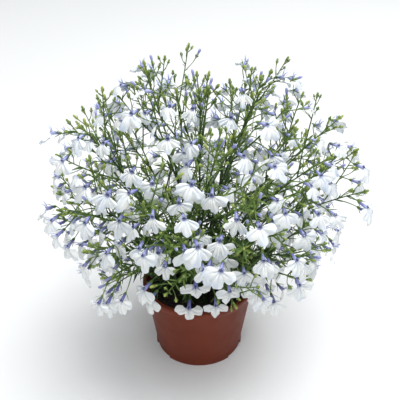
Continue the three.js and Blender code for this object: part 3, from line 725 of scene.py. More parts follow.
class Body:
    """Grids of points, with their marks and finishes, that become one mesh"""

    def __init__(self):
        self.points, self.marks, self.faces, self.finishes = [], [], [], []
        self.count = 0

    def grid(self, rows, along, across, tone, finish=0, closed=False):
        """Add rows of points, joined by faces. The rows of a closed grid are rings"""
        height, width = rows.shape[:2]
        marks = np.empty((height, width, 3))
        for i, values in enumerate((along, across, tone)):
            marks[..., i] = values
        index = np.arange(height * width).reshape(height, width) + self.count
        if closed:
            index = np.concatenate([index, index[:, :1]], axis=1)
        quads = [index[:-1, :-1], index[:-1, 1:], index[1:, 1:], index[1:, :-1]]
        quads = np.stack(quads, axis=-1).reshape(-1, 4)
        self.points.append(rows.reshape(-1, 3))
        self.marks.append(marks.reshape(-1, 3))
        self.faces.append(quads)
        self.finishes.append(np.full(len(quads), finish))
        self.count += height * width


print("marks on each point:", ", ".join(MARKS))


# %% Turn the grids into a mesh, and the mesh into a piece
def make_mesh(name, body, finishes):
    points = np.concatenate(body.points) * METRES
    faces = np.concatenate(body.faces)
    mesh = bpy.data.meshes.new(name)
    mesh.vertices.add(len(points))
    mesh.vertices.foreach_set("co", points.ravel())
    mesh.loops.add(faces.size)
    mesh.loops.foreach_set("vertex_index", faces.ravel())
    mesh.polygons.add(len(faces))
    mesh.polygons.foreach_set("loop_start", np.arange(len(faces)) * 4)
    mesh.polygons.foreach_set("material_index", np.concatenate(body.finishes))
    mesh.polygons.foreach_set("use_smooth", np.ones(len(faces), bool))
    for mark, values in zip(MARKS, np.concatenate(body.marks).T):
        mesh.attributes.new(mark, "FLOAT", "POINT").data.foreach_set("value", values.copy())
    mesh.update(calc_edges=True)
    for finish in finishes:
        mesh.materials.append(finish)
    return mesh


def make_piece(name, mesh, nodes):
    piece = bpy.data.objects.new(name, mesh)
    bpy.context.scene.collection.objects.link(piece)
    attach(piece, "root")
    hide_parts(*nodes)
    return piece


print("a point in millimetres is multiplied by", METRES)


# %% Tubes
def unit_row(v):
    return v / np.linalg.norm(v)


def around(sides):
    """Even turns for a ring of points"""
    return np.arange(sides) / sides * FULL_TURN


def tube(body, path, radii, sides, tone, finish=0):
    """A round stem along a path. Each ring goes by the one before it, so that the skin isn't twisted"""
    path = np.asarray(path, float)
    headings = np.gradient(path, axis=0)
    headings /= np.linalg.norm(headings, axis=1)[:, None]
    turns = around(sides)
    normal = np.array(side_of(tuple(headings[0]), 0))
    rows = []
    for at, heading, radius in zip(path, headings, radii):
        normal = unit_row(normal - heading * (normal @ heading))
        other = np.cross(heading, normal)
        ring = np.outer(np.cos(turns), normal) + np.outer(np.sin(turns), other)
        rows.append(at + radius * ring)
    along = np.linspace(0, 1, len(path))[:, None]
    body.grid(np.array(rows), along, turns / FULL_TURN, tone, finish, closed=True)


def points_of(add, *given):
    """How many points a helper adds to an empty body"""
    body = Body()
    add(body, *given)
    return body.count


print("a tube of two rings has", points_of(tube, [(0, 0, 0), (0, 0, 1)], [1, 1], 8, 0), "points")

# %% Blades
BLADE_SHARES = np.array([0, 0.12, 0.3, 0.5, 0.7, 0.88, 1])
BLADE_WIDTHS = np.array([0.3, 0.55, 0.92, 1, 0.78, 0.4, 0.04])
BLADE_FOLD = 0.45


def blade(body, at, way, above, length, width, tone, bend=0.12):
    """A narrow leaf with a fold along its middle, that bends away from the side above it"""
    at, way, above = (np.asarray(v, float) for v in (at, way, above))
    above = unit_row(above - way * (above @ way))
    across = np.cross(above, way)
    share = BLADE_SHARES[:, None, None]
    half = (0.5 * width * BLADE_WIDTHS)[:, None, None]
    side = np.array([-1.0, 0.0, 1.0])[None, :, None]
    middle = at + length * (share * way - bend * share**2 * above)
    rows = middle + half * (side * across + BLADE_FOLD * np.abs(side) * above)
    body.grid(rows, BLADE_SHARES[:, None], side[0, :, 0], tone)


leaf = ((0, 0, 0), (0, 1, 0), (0, 0, 1), LEAF_LENGTH, LEAF_WIDTH, 0.5)
print("a blade has", points_of(blade, *leaf), "points")

# %% [markdown]
# ## Finishes
# The plant needs few finishes, but none of them is one flat colour. Petals are white with a breath of
# blue, stems and leaves run from dark to fresh green, tubes are violet with fine streaks, and the pot is
# brown plastic with a soft gloss. They share three effects: patches, a fine grain, and stripes for veins
# and streaks. So each effect is built once as a node group with named inputs, and is placed in each
# material with its own values.


# %% The first shared effect, patches
def new_group(name, inputs, output, kind):
    """A node group with number inputs and one output, and the nodes at its two ends"""
    group = bpy.data.node_groups.new(name, "ShaderNodeTree")
    for label, value in inputs:
        socket = group.interface.new_socket(label, in_out="INPUT", socket_type="NodeSocketFloat")
        socket.default_value = value
    group.interface.new_socket(output, in_out="OUTPUT", socket_type=kind)
    return group, group.nodes.new("NodeGroupInput"), group.nodes.new("NodeGroupOutput")


def build_patches():
    inputs = [("Scale", 60), ("Detail", 3), ("Low", 0.35), ("High", 0.65)]
    group, given, result = new_group("patches", inputs, "Mask", "NodeSocketFloat")
    place = group.nodes.new("ShaderNodeTexCoord")
    noise = group.nodes.new("ShaderNodeTexNoise")
    ranged = group.nodes.new("ShaderNodeMapRange")
    join = group.links.new
    join(place.outputs["Object"], noise.inputs["Vector"])
    join(given.outputs["Scale"], noise.inputs["Scale"])
    join(given.outputs["Detail"], noise.inputs["Detail"])
    join(noise.outputs["Fac"], ranged.inputs["Value"])
    join(given.outputs["Low"], ranged.inputs["From Min"])
    join(given.outputs["High"], ranged.inputs["From Max"])
    join(ranged.outputs["Result"], result.inputs["Mask"])
    return group


PATCHES = build_patches()
print("node group:", PATCHES.name)

# %% Grain and stripes
GRAIN_DETAIL = 4


def build_grain():
    inputs = [("Scale", 900), ("Strength", 0.3), ("Depth", 0.0002)]
    group, given, result = new_group("grain", inputs, "Normal", "NodeSocketVector")
    place = group.nodes.new("ShaderNodeTexCoord")
    noise = group.nodes.new("ShaderNodeTexNoise")
    bump = group.nodes.new("ShaderNodeBump")
    join = group.links.new
    noise.inputs["Detail"].default_value = GRAIN_DETAIL
    join(place.outputs["Object"], noise.inputs["Vector"])
    join(given.outputs["Scale"], noise.inputs["Scale"])
    join(noise.outputs["Fac"], bump.inputs["Height"])
    join(given.outputs["Strength"], bump.inputs["Strength"])
    join(given.outputs["Depth"], bump.inputs["Distance"])
    join(bump.outputs["Normal"], result.inputs["Normal"])
    return group


def build_stripes():
    inputs = [("Place", 0), ("Pace", 40)]
    group, given, result = new_group("stripes", inputs, "Wave", "NodeSocketFloat")
    paced, wave = (group.nodes.new("ShaderNodeMath") for _ in range(2))
    paced.operation, wave.operation = "MULTIPLY", "SINE"
    join = group.links.new
    join(given.outputs["Place"], paced.inputs[0])
    join(given.outputs["Pace"], paced.inputs[1])
    join(paced.outputs["Value"], wave.inputs[0])
    join(wave.outputs["Value"], result.inputs["Wave"])
    return group


GRAIN = build_grain()
STRIPES = build_stripes()
print("node groups:", GRAIN.name, "and", STRIPES.name)


# %% Short ways to place and join nodes
class Finish:
    """A material, with one short word for each kind of node that the plant's finishes need"""

    def __init__(self, name, roughness):
        self.material = bpy.data.materials.new(name)
        self.material.use_nodes = True
        self.nodes = self.material.node_tree.nodes
        self.join = self.material.node_tree.links.new
        self.surface = self.nodes["Principled BSDF"]
        self.surface.inputs["Roughness"].default_value = roughness

    def effect(self, group, **values):
        """One of the shared effects, with its own values"""
        node = self.nodes.new("ShaderNodeGroup")
        node.node_tree = group
        self.give((node.inputs[label] for label in values), values.values())
        return node.outputs[0]

    def mark(self, name):
        """A mark of the points"""
        node = self.nodes.new("ShaderNodeAttribute")
        node.attribute_name = name
        return node.outputs["Fac"]

    def give(self, sockets, values):
        """Give sockets what they need: a number, a colour, or what another node puts out"""
        for socket, value in zip(sockets, values):
            if isinstance(value, (int, float)):
                socket.default_value = value
            elif isinstance(value, tuple):
                socket.default_value = (*value, 1)
            else:
                self.join(value, socket)

    def calc(self, operation, *values, clamp=False):
        """One step of a formula"""
        node = self.nodes.new("ShaderNodeMath")
        node.operation = operation
        node.use_clamp = clamp
        self.give(node.inputs, values)
        return node.outputs[0]

    def ramp(self, value, stops):
        """A colour from a row of colours"""
        node = self.nodes.new("ShaderNodeValToRGB")
        elements = node.color_ramp.elements
        while len(elements) < len(stops):
            elements.new(0.5)
        for element, (place, colour) in zip(elements, stops):
            element.position = place
            element.color = (*colour, 1)
        self.join(value, node.inputs["Fac"])
        return node.outputs["Color"]

    def blend(self, share, a, b):
        """A colour between two. Sockets 6 and 7 and output 2 of this node are those for colours"""
        node = self.nodes.new("ShaderNodeMix")
        node.data_type = "RGBA"
        self.give((node.inputs["Factor"], node.inputs[6], node.inputs[7]), (share, a, b))
        return node.outputs[2]

    def colour(self, colour):
        self.join(colour, self.surface.inputs["Base Color"])

    def normal(self, normal):
        self.join(normal, self.surface.inputs["Normal"])


print("a finish starts from Blender's Principled surface")

# %% [markdown]
# ### Petals
# A lobelia's lip is white, but not like paper. It turns pale blue towards its throat and its rim, and
# thin blue veins fan out from the throat. Along the crease in the middle of each lobe, a grey-blue painted
# shade is laid on too. The marks on the points say where a place lies on its petal, so the veins and that
# painted shade can be drawn by a formula: stripes across the petal that are gentle waves, faded out with
# distance.


# %% The white of the lip
WHITE = (0.92, 0.93, 0.9)
BLUISH = (0.58, 0.67, 0.83)
VEIN = (0.46, 0.52, 0.74)
THROAT = (0.4, 0.44, 0.74)
# The next colour is painted shade: grey-blue along the crease in the middle of each lobe
FOLD_SHADE = (0.42, 0.46, 0.54)
RIM_POWER = 5
TONE_SHARE = 0.65
VEIN_PACE, VEIN_POWER = 46, 6
# The pace and sharpness of that painted crease shade
FOLD_SHADE_PACE, FOLD_SHADE_POWER = 5.03, 14
# How strong each of them is at the throat, and how fast it fades along the petal
VEIN_FADE = (0.5, 0.5)
FOLD_SHADE_FADE = (0.62, 0.55)
THROAT_FADE = (0.8, 3.6)
SEE_THROUGH, PETAL_IOR = 0.2, 1.15


def fade(finish, value, start, rate, clamp=False):
    """Strong where a value is 0, and weaker as it grows"""
    return finish.calc("SUBTRACT", start, finish.calc("MULTIPLY", value, rate), clamp=clamp)


def make_petal():
    finish = Finish("petal", roughness=0.55)
    along, across, tone = (finish.mark(mark) for mark in MARKS)
    cloudy = finish.effect(PATCHES, Scale=140, Detail=2, Low=0.4, High=0.75)
    bluer = finish.calc("ADD", cloudy, finish.calc("POWER", along, RIM_POWER))
    tint = finish.calc("MULTIPLY", bluer, finish.calc("MULTIPLY", tone, TONE_SHARE), clamp=True)
    colour = finish.blend(tint, WHITE, BLUISH)
    crests = finish.calc("MAXIMUM", finish.effect(STRIPES, Place=across, Pace=VEIN_PACE), 0)
    veins = finish.calc("POWER", crests, VEIN_POWER)
    veins = finish.calc("MULTIPLY", veins, fade(finish, along, *VEIN_FADE), clamp=True)
    colour = finish.blend(veins, colour, VEIN)
    # Painted shade along the crease in the middle of each lobe, strongest near the throat
    lobes = finish.calc("COSINE", finish.calc("MULTIPLY", across, FOLD_SHADE_PACE))
    middles = finish.calc("ABSOLUTE", lobes)
    painted_fold_shade = finish.calc("POWER", middles, FOLD_SHADE_POWER)
    painted_fold_shade = finish.calc("MULTIPLY", painted_fold_shade, fade(finish, along, *FOLD_SHADE_FADE), clamp=True)
    colour = finish.blend(painted_fold_shade, colour, FOLD_SHADE)
    near = fade(finish, along, *THROAT_FADE, clamp=True)
    finish.colour(finish.blend(near, colour, THROAT))
    finish.normal(finish.effect(GRAIN, Scale=450, Strength=0.35, Depth=0.0004))
    finish.surface.inputs["Transmission Weight"].default_value = SEE_THROUGH
    finish.surface.inputs["IOR"].default_value = PETAL_IOR
    return finish.material


PETAL = make_petal()
print("made", PETAL.name)

# %% [markdown]
# ### Violet and dark parts
# The tube and the two ears are violet with fine lines, and paler towards their ends, while the anthers
# are nearly black. The lines could be painted as an image, but a wave across the petal gives them at any
# size. Its weight is small, so that they are only seen from close by. The tone of a bloom counts as well,
# so young blooms high in the bush are paler. That tone is partly the bloom's own and partly a painted
# bluish shade that grows with the bloom's height.

# %% The violet of the tube and ears, and the dark anthers
DEEP_VIOLET = (0.06, 0.05, 0.2)
VIOLET = (0.145, 0.145, 0.41)
PALE_VIOLET = (0.5, 0.55, 0.82)
STREAK_PACE = 38
# The weights of the place along the part, the bloom's tone, the patches and the streaks
VIOLET_WEIGHTS = (0.45, 0.3, 0.2, 0.06)
ANTHER_DARK, ANTHER_LIGHT = (0.012, 0.016, 0.045), (0.07, 0.09, 0.2)


def weigh(finish, *parts):
    """A sum of values, each times its weight"""
    total = 0
    for value, weight in parts:
        total = finish.calc("ADD", total, finish.calc("MULTIPLY", value, weight))
    return total


def make_violet():
    finish = Finish("violet", roughness=0.45)
    along, across, tone = (finish.mark(mark) for mark in MARKS)
    streaks = finish.effect(STRIPES, Place=across, Pace=STREAK_PACE)
    patchy = finish.effect(PATCHES, Scale=220, Detail=2, Low=0.3, High=0.7)
    level = weigh(finish, *zip((along, tone, patchy, streaks), VIOLET_WEIGHTS))
    finish.colour(finish.ramp(level, [(0.05, DEEP_VIOLET), (0.45, VIOLET), (0.95, PALE_VIOLET)]))
    finish.normal(finish.effect(GRAIN, Scale=800, Strength=0.15, Depth=0.0002))
    return finish.material


def make_anther():
    finish = Finish("anther", roughness=0.6)
    patchy = finish.effect(PATCHES, Scale=1500, Detail=2, Low=0.3, High=0.7)
    finish.colour(finish.ramp(patchy, [(0, ANTHER_DARK), (1, ANTHER_LIGHT)]))
    return finish.material


VIOLET_FINISH = make_violet()
ANTHER = make_anther()
print("made", VIOLET_FINISH.name, "and", ANTHER.name)

# %% [markdown]
# ### Green parts
# Old stems low in the bush are dark green, leaves are brighter, and buds are nearly yellow. The leaves of
# the low side shoots and the first leaves of each stem are darker still, nearly black: partly old leaves
# and partly painted shade in the heart of the bush. One material can serve them all, because each leaf,
# stem and bud carries its own tone, and a colour ramp turns that tone into a green. Patches in the plant's
# own space add the unevenness of living tissue.

# %% The green of stems, leaves and buds
# From nearly black to yellow green. The darkest greens are partly painted shade deep in the bush
GREENS = [
    (0.0, (0.006, 0.015, 0.003)),
    (0.35, (0.026, 0.062, 0.009)),
    (0.65, (0.15, 0.24, 0.055)),
    (1.0, (0.36, 0.42, 0.11)),
]
PATCH_SHIFT = 0.3
GREEN_IOR = 1.33


def make_green():
    finish = Finish("green", roughness=0.5)
    finish.surface.inputs["IOR"].default_value = GREEN_IOR
    patchy = finish.effect(PATCHES, Scale=120, Detail=3, Low=0.25, High=0.75)
    shift = finish.calc("MULTIPLY", finish.calc("SUBTRACT", patchy, 0.5), PATCH_SHIFT)
    finish.colour(finish.ramp(finish.calc("ADD", finish.mark("tone"), shift, clamp=True), GREENS))
    finish.normal(finish.effect(GRAIN, Scale=500, Strength=0.25, Depth=0.0002))
    return finish.material


GREEN = make_green()
print("made", GREEN.name, "with", len(GREENS), "greens")

# %% [markdown]
# ## One bloom
# A lobelia's bloom is a small tube that is slit along its top. Its lower lip is one sheet with three
# lobes, two narrow ears stand up behind it, and a dark tube of anthers looks out of the slit. The lip is
# modelled as a fan: the columns of its grid run out from the throat at even turns, and each stops where
# the outline says. That gives the notches between the lobes clean edges, with no separate petals that cut
# through each other. Blooms near the top of the bush are younger, and their lips are half open. They also
# take more of the blue, which is painted bluish shade that grows with height.

# %% The outline of the lip
LIP_SPAN, LIP_COLUMNS = math.radians(104), 53
LIP_TURNS = np.linspace(-LIP_SPAN, LIP_SPAN, LIP_COLUMNS)
LIP_ROWS = np.array([0, 0.07, 0.15, 0.27, 0.42, 0.58, 0.74, 0.88, 1])
THROAT_RADIUS = 1.3
WEB, WEB_FADE, WEB_POWER = 8.0, math.radians(34), 0.7
# Each lobe: the middle of its turn and half its spread, in degrees, and its length
LOBES = ((-65, 41, 11.2), (0, 33, 12.8), (65, 41, 11.2))
LOBE_SHIFT, LOBE_CHANCE = 3, 0.05
LOBE_POINTS, LOBE_POINT_WIDTH = (-0.04, 0.1), 0.2
RIPPLE, RIPPLE_PACE = 0.022, 13
# Nearly a full turn, for a wave or a row of leaves that may begin anywhere
ANY_TURN = (0, 6)


def hump(values, middle, width):
    """1 at the middle, and softly down to 0 on both sides of it"""
    return np.exp(-(((values - middle) / width) ** 2))


def outline(chance):
    """How far out the lip reaches at each turn, and where each turn lies across its lobe"""
    fade = np.clip((LIP_SPAN - np.abs(LIP_TURNS)) / WEB_FADE, 0, 1) ** WEB_POWER
    reach = THROAT_RADIUS + (WEB - THROAT_RADIUS) * fade
    within = np.ones_like(LIP_TURNS)
    for middle, spread, length in LOBES:
        middle = math.radians(middle + chance.normal(0, LOBE_SHIFT))
        spread = math.radians(spread * (1 + chance.normal(0, LOBE_CHANCE)))
        length = length * (1 + chance.normal(0, LOBE_CHANCE))
        place = np.clip(np.abs(LIP_TURNS - middle) / spread, 0, 1)
        point = 1 + chance.uniform(*LOBE_POINTS) * hump(place, 0, LOBE_POINT_WIDTH)
        reach = np.maximum(reach, length * point * np.sqrt(1 - place**3))
        within = np.minimum(within, place)
    ripple = RIPPLE * np.sin(LIP_TURNS * RIPPLE_PACE + chance.uniform(*ANY_TURN))
    return reach * (1 + ripple), within


chance = np.random.default_rng(SEED)
print("the lip reaches", outline(chance)[0].round(1)[::8], "mm")

# %% How the lip stands proud of a flat fan
LOBE_ARCH, LOBE_ARCH_POWER = 1.7, 0.8
CURLS, HALF_OPEN_CURL = (-0.4, 1.8), 2
SAGS = (0.4, 2.6)
FOLD_DEPTH, FOLD_WIDTH, FOLD_DEPTH_POWER = 1.1, 0.24, 0.7
EDGE_WAVE, EDGE_PACE = 0.7, 11
# The two small humps at the throat: their height, turn, spread, row and length
HUMP, HUMP_TURN, HUMP_SPREAD, HUMP_ROW, HUMP_LENGTH = 0.5, 0.3, 0.2, 0.15, 0.08


def relief(within, rows, chance, half_open):
    """Arched lobes with a curled rim, a hanging end, a fold along each lobe, a wavy edge and two humps"""
    arch = 1 - within**2
    curl = chance.uniform(*CURLS) + HALF_OPEN_CURL * half_open
    proud = LOBE_ARCH * arch * np.sin(np.pi * rows**LOBE_ARCH_POWER) - curl * rows**2 * (1 - arch)
    proud = proud - chance.uniform(*SAGS) * rows**3
    proud = proud - FOLD_DEPTH * hump(within, 0, FOLD_WIDTH) * np.sin(np.pi * rows**FOLD_DEPTH_POWER)
    proud = proud + EDGE_WAVE * rows**2 * np.sin(LIP_TURNS * EDGE_PACE + chance.uniform(*ANY_TURN))
    humps = hump(np.abs(LIP_TURNS), HUMP_TURN, HUMP_SPREAD) * hump(rows, HUMP_ROW, HUMP_LENGTH)
    return proud + HUMP * humps


heights = relief(outline(chance)[1], LIP_ROWS[:, None], chance, 0)
print("a lip's relief goes from", heights.min().round(1), "to", heights.max().round(1), "mm")

# %% The lip
# Which of a bloom's three finishes each part takes
PETAL_PART, VIOLET_PART, ANTHER_PART = 0, 1, 2
# Some lips hang less than those of the frame
DROOP_CHANCE = 0.15
MOUTH, MOUTH_FORWARD, MOUTH_ROWS = 1.7, 0.1, 0.27
LONGEST_REACH = 13.5


def set_in(bloom, local):
    """Local points of a bloom, as forward, left and up, set in their place"""
    base, forward, left, up = map(np.array, (bloom.base, bloom.forward, bloom.left, bloom.up))
    x, y, z = local[..., 0:1] + TUBE_LENGTH, local[..., 1:2], local[..., 2:3]
    return base + bloom.size * (x * forward + y * left + z * up)


def add_lip(body, bloom, chance, tint, half_open):
    """The lip of a bloom. A half open one hangs narrower and is more curled, as most near the top do"""
    reach, within = outline(chance)
    rows = LIP_ROWS[:, None]
    out = THROAT_RADIUS + (reach - THROAT_RADIUS) * rows
    proud = relief(within, rows, chance, half_open)
    droop = LIP_DROOP - abs(chance.normal(0, DROOP_CHANCE))
    spread = LIP_TURNS * (1 - half_open)
    lip = np.stack(on_lip(out * np.cos(spread), out * np.sin(spread), proud, droop), axis=-1)
    mouth = [MOUTH_FORWARD + 0 * LIP_TURNS, np.sin(LIP_TURNS), -np.cos(LIP_TURNS)]
    mouth = MOUTH * np.stack(mouth, axis=-1)
    opening = np.clip(rows / MOUTH_ROWS, 0, 1)[..., None]
    opening = opening**2 * (3 - 2 * opening)
    local = mouth * (1 - opening) + lip * opening
    body.grid(set_in(bloom, local), out / LONGEST_REACH, LIP_TURNS / LIP_SPAN, tint, PETAL_PART)


test = Body()
add_lip(test, straight, chance, 0, 0)
points = np.concatenate(test.points)
print("a straight bloom's lip spans", points.min(axis=0).round(1), "to", points.max(axis=0).round(1))

# %% The tube
TUBE_PLACES = np.array([-7.4, -6.7, -5.6, -4.2, -2.6, -1.2, 0.1])[:, None]
TUBE_RADII = np.array([0.7, 1.0, 1.12, 1.2, 1.32, 1.5, 1.75])[:, None]
TUBE_SIDES = 10
SLIT, SLIT_POWER = 1.6, 3


def add_tube(body, bloom, tint):
    """The tube, whose mouth is cut back along its top, where it is slit"""
    turns = around(TUBE_SIDES)
    x = TUBE_PLACES + 0 * turns
    x[-1] -= SLIT * np.clip(np.cos(turns), 0, 1) ** SLIT_POWER
    local = np.stack([x, TUBE_RADII * np.sin(-turns), TUBE_RADII * np.cos(turns)], axis=-1)
    along = (TUBE_PLACES + TUBE_LENGTH) / TUBE_LENGTH
    body.grid(set_in(bloom, local), along, turns / FULL_TURN, tint, VIOLET_PART, closed=True)


print("a tube has", points_of(add_tube, straight, 0), "points")

# %% The ears and the anthers
EAR_SHARES = np.array([0, 0.25, 0.5, 0.75, 0.92, 1])[:, None]
EAR_WIDTHS = np.array([0.5, 0.68, 0.78, 0.62, 0.34, 0.05])[:, None, None]
EAR_FOOT, EAR_KNEE, EAR_TIP = (-0.4, 0.8, 1.1), (-0.4, 1.0, 4.2), (2.3, 2.3, 6.0)
EAR_CHANCE, EAR_FOLD = 0.45, 0.3
EAR_ALONG = 0.75 + 0.6 * EAR_SHARES
EAR_ACROSS = 0.2
ANTHER_PLACES = np.array([(-1.8, 0, 0.9), (-0.4, 0, 1.05), (0.7, 0, 0.95), (1.2, 0, 0.7)])
ANTHER_RADII = np.array([0.4, 0.5, 0.45, 0.12])
ANTHER_SIDES = 6


def add_ears(body, bloom, chance, tint):
    """Two narrow strips that bend up and forward, each folded along its middle"""
    share = EAR_SHARES
    fold = np.array([-1.0, 0.0, 1.0])
    width = EAR_WIDTHS * np.stack([EAR_FOLD * np.abs(fold), fold, 0 * fold], axis=-1)
    for side in (1, -1):
        tip = EAR_TIP + chance.normal(0, EAR_CHANCE, 3)
        middle = (1 - share) ** 2 * EAR_FOOT + 2 * share * (1 - share) * EAR_KNEE
        middle = (middle + share**2 * tip) * [1, side, 1]
        local = middle[:, None, :] + width
        body.grid(set_in(bloom, local), EAR_ALONG, EAR_ACROSS * fold, tint, VIOLET_PART)


def add_anthers(body, bloom):
    """The dark tube of anthers, which ends in a point"""
    path = set_in(bloom, ANTHER_PLACES)
    tube(body, path, bloom.size * ANTHER_RADII, ANTHER_SIDES, 0, ANTHER_PART)


print("ears of", len(EAR_SHARES), "rows, anthers of", ANTHER_SIDES, "sides")

# %% [markdown]
# ## Green parts of a bloom
# Behind the tube sits a small green cup with five narrow sepals, which stand off like the legs of a
# spider. The bloom's stalk is nearly straight and turns into the cup at its end. A tube that follows a
# short curve gives both, and the curve's ends take their ways from the stem and from the bloom.

# %% The stalk
STALK_SHARES = np.linspace(0, 1, 9)
STALK_END = np.array([-8.6, 0.0, 0.0])
STALK_LEAVING, STALK_ARRIVING = 0.35, 0.9
STALK_RADII, STALK_SIDES = (0.46, 0.34), 6
GREEN_TONE, STALK_TONES = 0.5, (-0.1, 0.12)


def soft_curve(a, way_a, b, way_b, shares):
    """A curve that leaves a along way_a and reaches b along way_b"""
    t = shares[:, None]
    h = [2 * t**3 - 3 * t**2 + 1, t**3 - 2 * t**2 + t, 3 * t**2 - 2 * t**3, t**3 - t**2]
    parts = (np.asarray(v, float) for v in (a, way_a, b, way_b))
    return sum(weight * part for weight, part in zip(h, parts))


def add_stalk(body, bloom, chance):
    """The thin stalk from the stem to the bloom's cup"""
    start = np.array(bend_at(bloom.curve, bloom.stand))
    end = set_in(bloom, STALK_END)
    length = np.linalg.norm(end - start)
    way = unit_row(end - start)
    leaving = unit_row(way + STALK_LEAVING * np.array(heading_on(bloom.curve, bloom.stand)))
    arriving = unit_row(way + STALK_ARRIVING * np.array(bloom.forward))
    path = soft_curve(start, length * leaving, end, length * arriving, STALK_SHARES)
    radii = np.linspace(*STALK_RADII, len(path))
    tube(body, path, radii, STALK_SIDES, GREEN_TONE + chance.uniform(*STALK_TONES))


print("stalks of", len(STALK_SHARES), "rings")

# %% The cup and the sepals
CUP_PLACES = np.array([-9.0, -8.5, -7.8, -7.0, -6.5])
CUP_RADII, CUP_SIDES = np.array([0.42, 0.75, 1.1, 1.25, 1.15]), 8
CUP_TONES = (-0.08, 0.12)
SEPALS = 5
SEPAL_FOOT, SEPAL_RING = np.array([-7.0, 0, 0]), 0.9
SEPAL_OUT, SEPAL_FORWARD = 0.75, (0.25, 0.75)
SEPAL_LENGTHS, SEPAL_WIDTH, SEPAL_BEND = (4.4, 6), 0.75, -0.2


def add_calyx(body, bloom, chance):
    """The green cup behind the tube, with its sepals"""
    tone = GREEN_TONE + chance.uniform(*CUP_TONES)
    cup = set_in(bloom, np.stack([CUP_PLACES, 0 * CUP_PLACES, 0 * CUP_PLACES], axis=-1))
    tube(body, cup, bloom.size * CUP_RADII, CUP_SIDES, tone)
    begin = chance.uniform(0, FULL_TURN)
    for i in range(SEPALS):
        turn = begin + i * FULL_TURN / SEPALS
        radial = np.array(bloom.left) * math.cos(turn) + np.array(bloom.up) * math.sin(turn)
        at = set_in(bloom, SEPAL_FOOT) + SEPAL_RING * radial
        way = unit_row(SEPAL_OUT * radial + chance.uniform(*SEPAL_FORWARD) * np.array(bloom.forward))
        length = chance.uniform(*SEPAL_LENGTHS)
        blade(body, at, way, bloom.forward, length, SEPAL_WIDTH, tone, SEPAL_BEND)


print("a cup with its sepals has", points_of(add_calyx, straight, chance), "points")

# %% [markdown]
# ## Stems, leaves and buds
# The tip of each stem carries a little cluster of buds, the youngest at its very end, each with a narrow
# leaf below it. A young bloom may stand there too, still rolled up. Further down, longer leaves stand by
# turns round the stem, a golden angle apart, as in most plants. Two kinds of shoot are added to the
# frame's stems. Thin ones that carry only buds rise above the blooms, and short leafy ones fill the dark
# heart of the bush, but not where they would hide the bare peat. What is added here isn't tested for room,
# so some of it crosses its neighbours.

# %% Buds and young blooms
BUD_PLACES = np.array([0, 0.12, 0.3, 0.5, 0.72, 0.88, 0.97, 1])
BUD_RADII = np.array([0.3, 0.55, 0.66, 0.74, 0.98, 0.88, 0.45, 0.1])
BUD_SIDES = 7
BUD_TONE, BUD_TONES = 0.78, (-0.1, 0.17)
BUD_SEPAL_FOOT, BUD_SEPAL_RING, BUD_SEPAL_OUT = 0.3, 0.6, 0.45
BUD_SEPAL_LENGTH, BUD_SEPAL_WIDTH, BUD_SEPAL_BEND = 0.42, 0.7, -0.1
DARKER = 0.2
YOUNG_PLACES = np.array([0, 0.1, 0.3, 0.55, 0.75, 0.9, 0.97, 1])
YOUNG_RADII, YOUNG_SIDES = np.array([0.6, 0.75, 0.8, 0.9, 1.1, 0.95, 0.5, 0.1]), 8


def add_bud(body, at, way, length, chance):
    """A bud and the sepals that lie close to it"""
    at, way = np.asarray(at, float), np.asarray(way, float)
    tone = BUD_TONE + chance.uniform(*BUD_TONES)
    tube(body, at + length * BUD_PLACES[:, None] * way, BUD_RADII * length / BUD_LENGTH, BUD_SIDES, tone)
    side = np.array(side_of(tuple(way), chance.uniform(*ANY_TURN)))
    other = np.cross(way, side)
    for i in range(SEPALS):
        turn = i * FULL_TURN / SEPALS
        radial = side * math.cos(turn) + other * math.sin(turn)
        foot = at + BUD_SEPAL_FOOT * length * way + BUD_SEPAL_RING * radial * length / BUD_LENGTH
        leaning, sepal = unit_row(way + BUD_SEPAL_OUT * radial), BUD_SEPAL_LENGTH * length
        blade(body, foot, leaning, radial, sepal, BUD_SEPAL_WIDTH, tone - DARKER, BUD_SEPAL_BEND)


def add_young(body, at, way, length):
    """A young bloom that is still rolled up, violet at its foot and pale at its tip"""
    path = np.asarray(at) + length * YOUNG_PLACES[:, None] * np.asarray(way)
    tube(body, path, YOUNG_RADII, YOUNG_SIDES, 1, VIOLET_PART)


print("a bud has", points_of(add_bud, (0, 0, 0), (0, 0, 1), BUD_LENGTH, chance), "points")

# %% Clusters of buds
# From the lowest bud of a cluster to its tip: how far they stand below it, their stalks and their sizes
CLUSTER_FEET, CLUSTER_STALKS, CLUSTER_BUDS = (17.0, 1.5), (12, 3.5), (6.8, 4.2)
CLUSTER_LEANS = (32, 58)
STALK_CHANCE, BUD_CHANCE = (0.8, 1.2), (0.85, 1.15)
TURNED_UP = 0.6
BUD_STALK_RADII, BUD_STALK_SIDES = [0.36, 0.32, 0.3, 0.3, 0.36], 5
YOUNG_SHARE, YOUNG_FOOT, YOUNG_LENGTHS = 0.6, 2.4, (7, 9.5)
BRACT_LEAN, BRACT_LENGTHS, BRACT_WIDTH, BRACT_TONE = 0.8, (4, 6.5), 0.9, 0.55


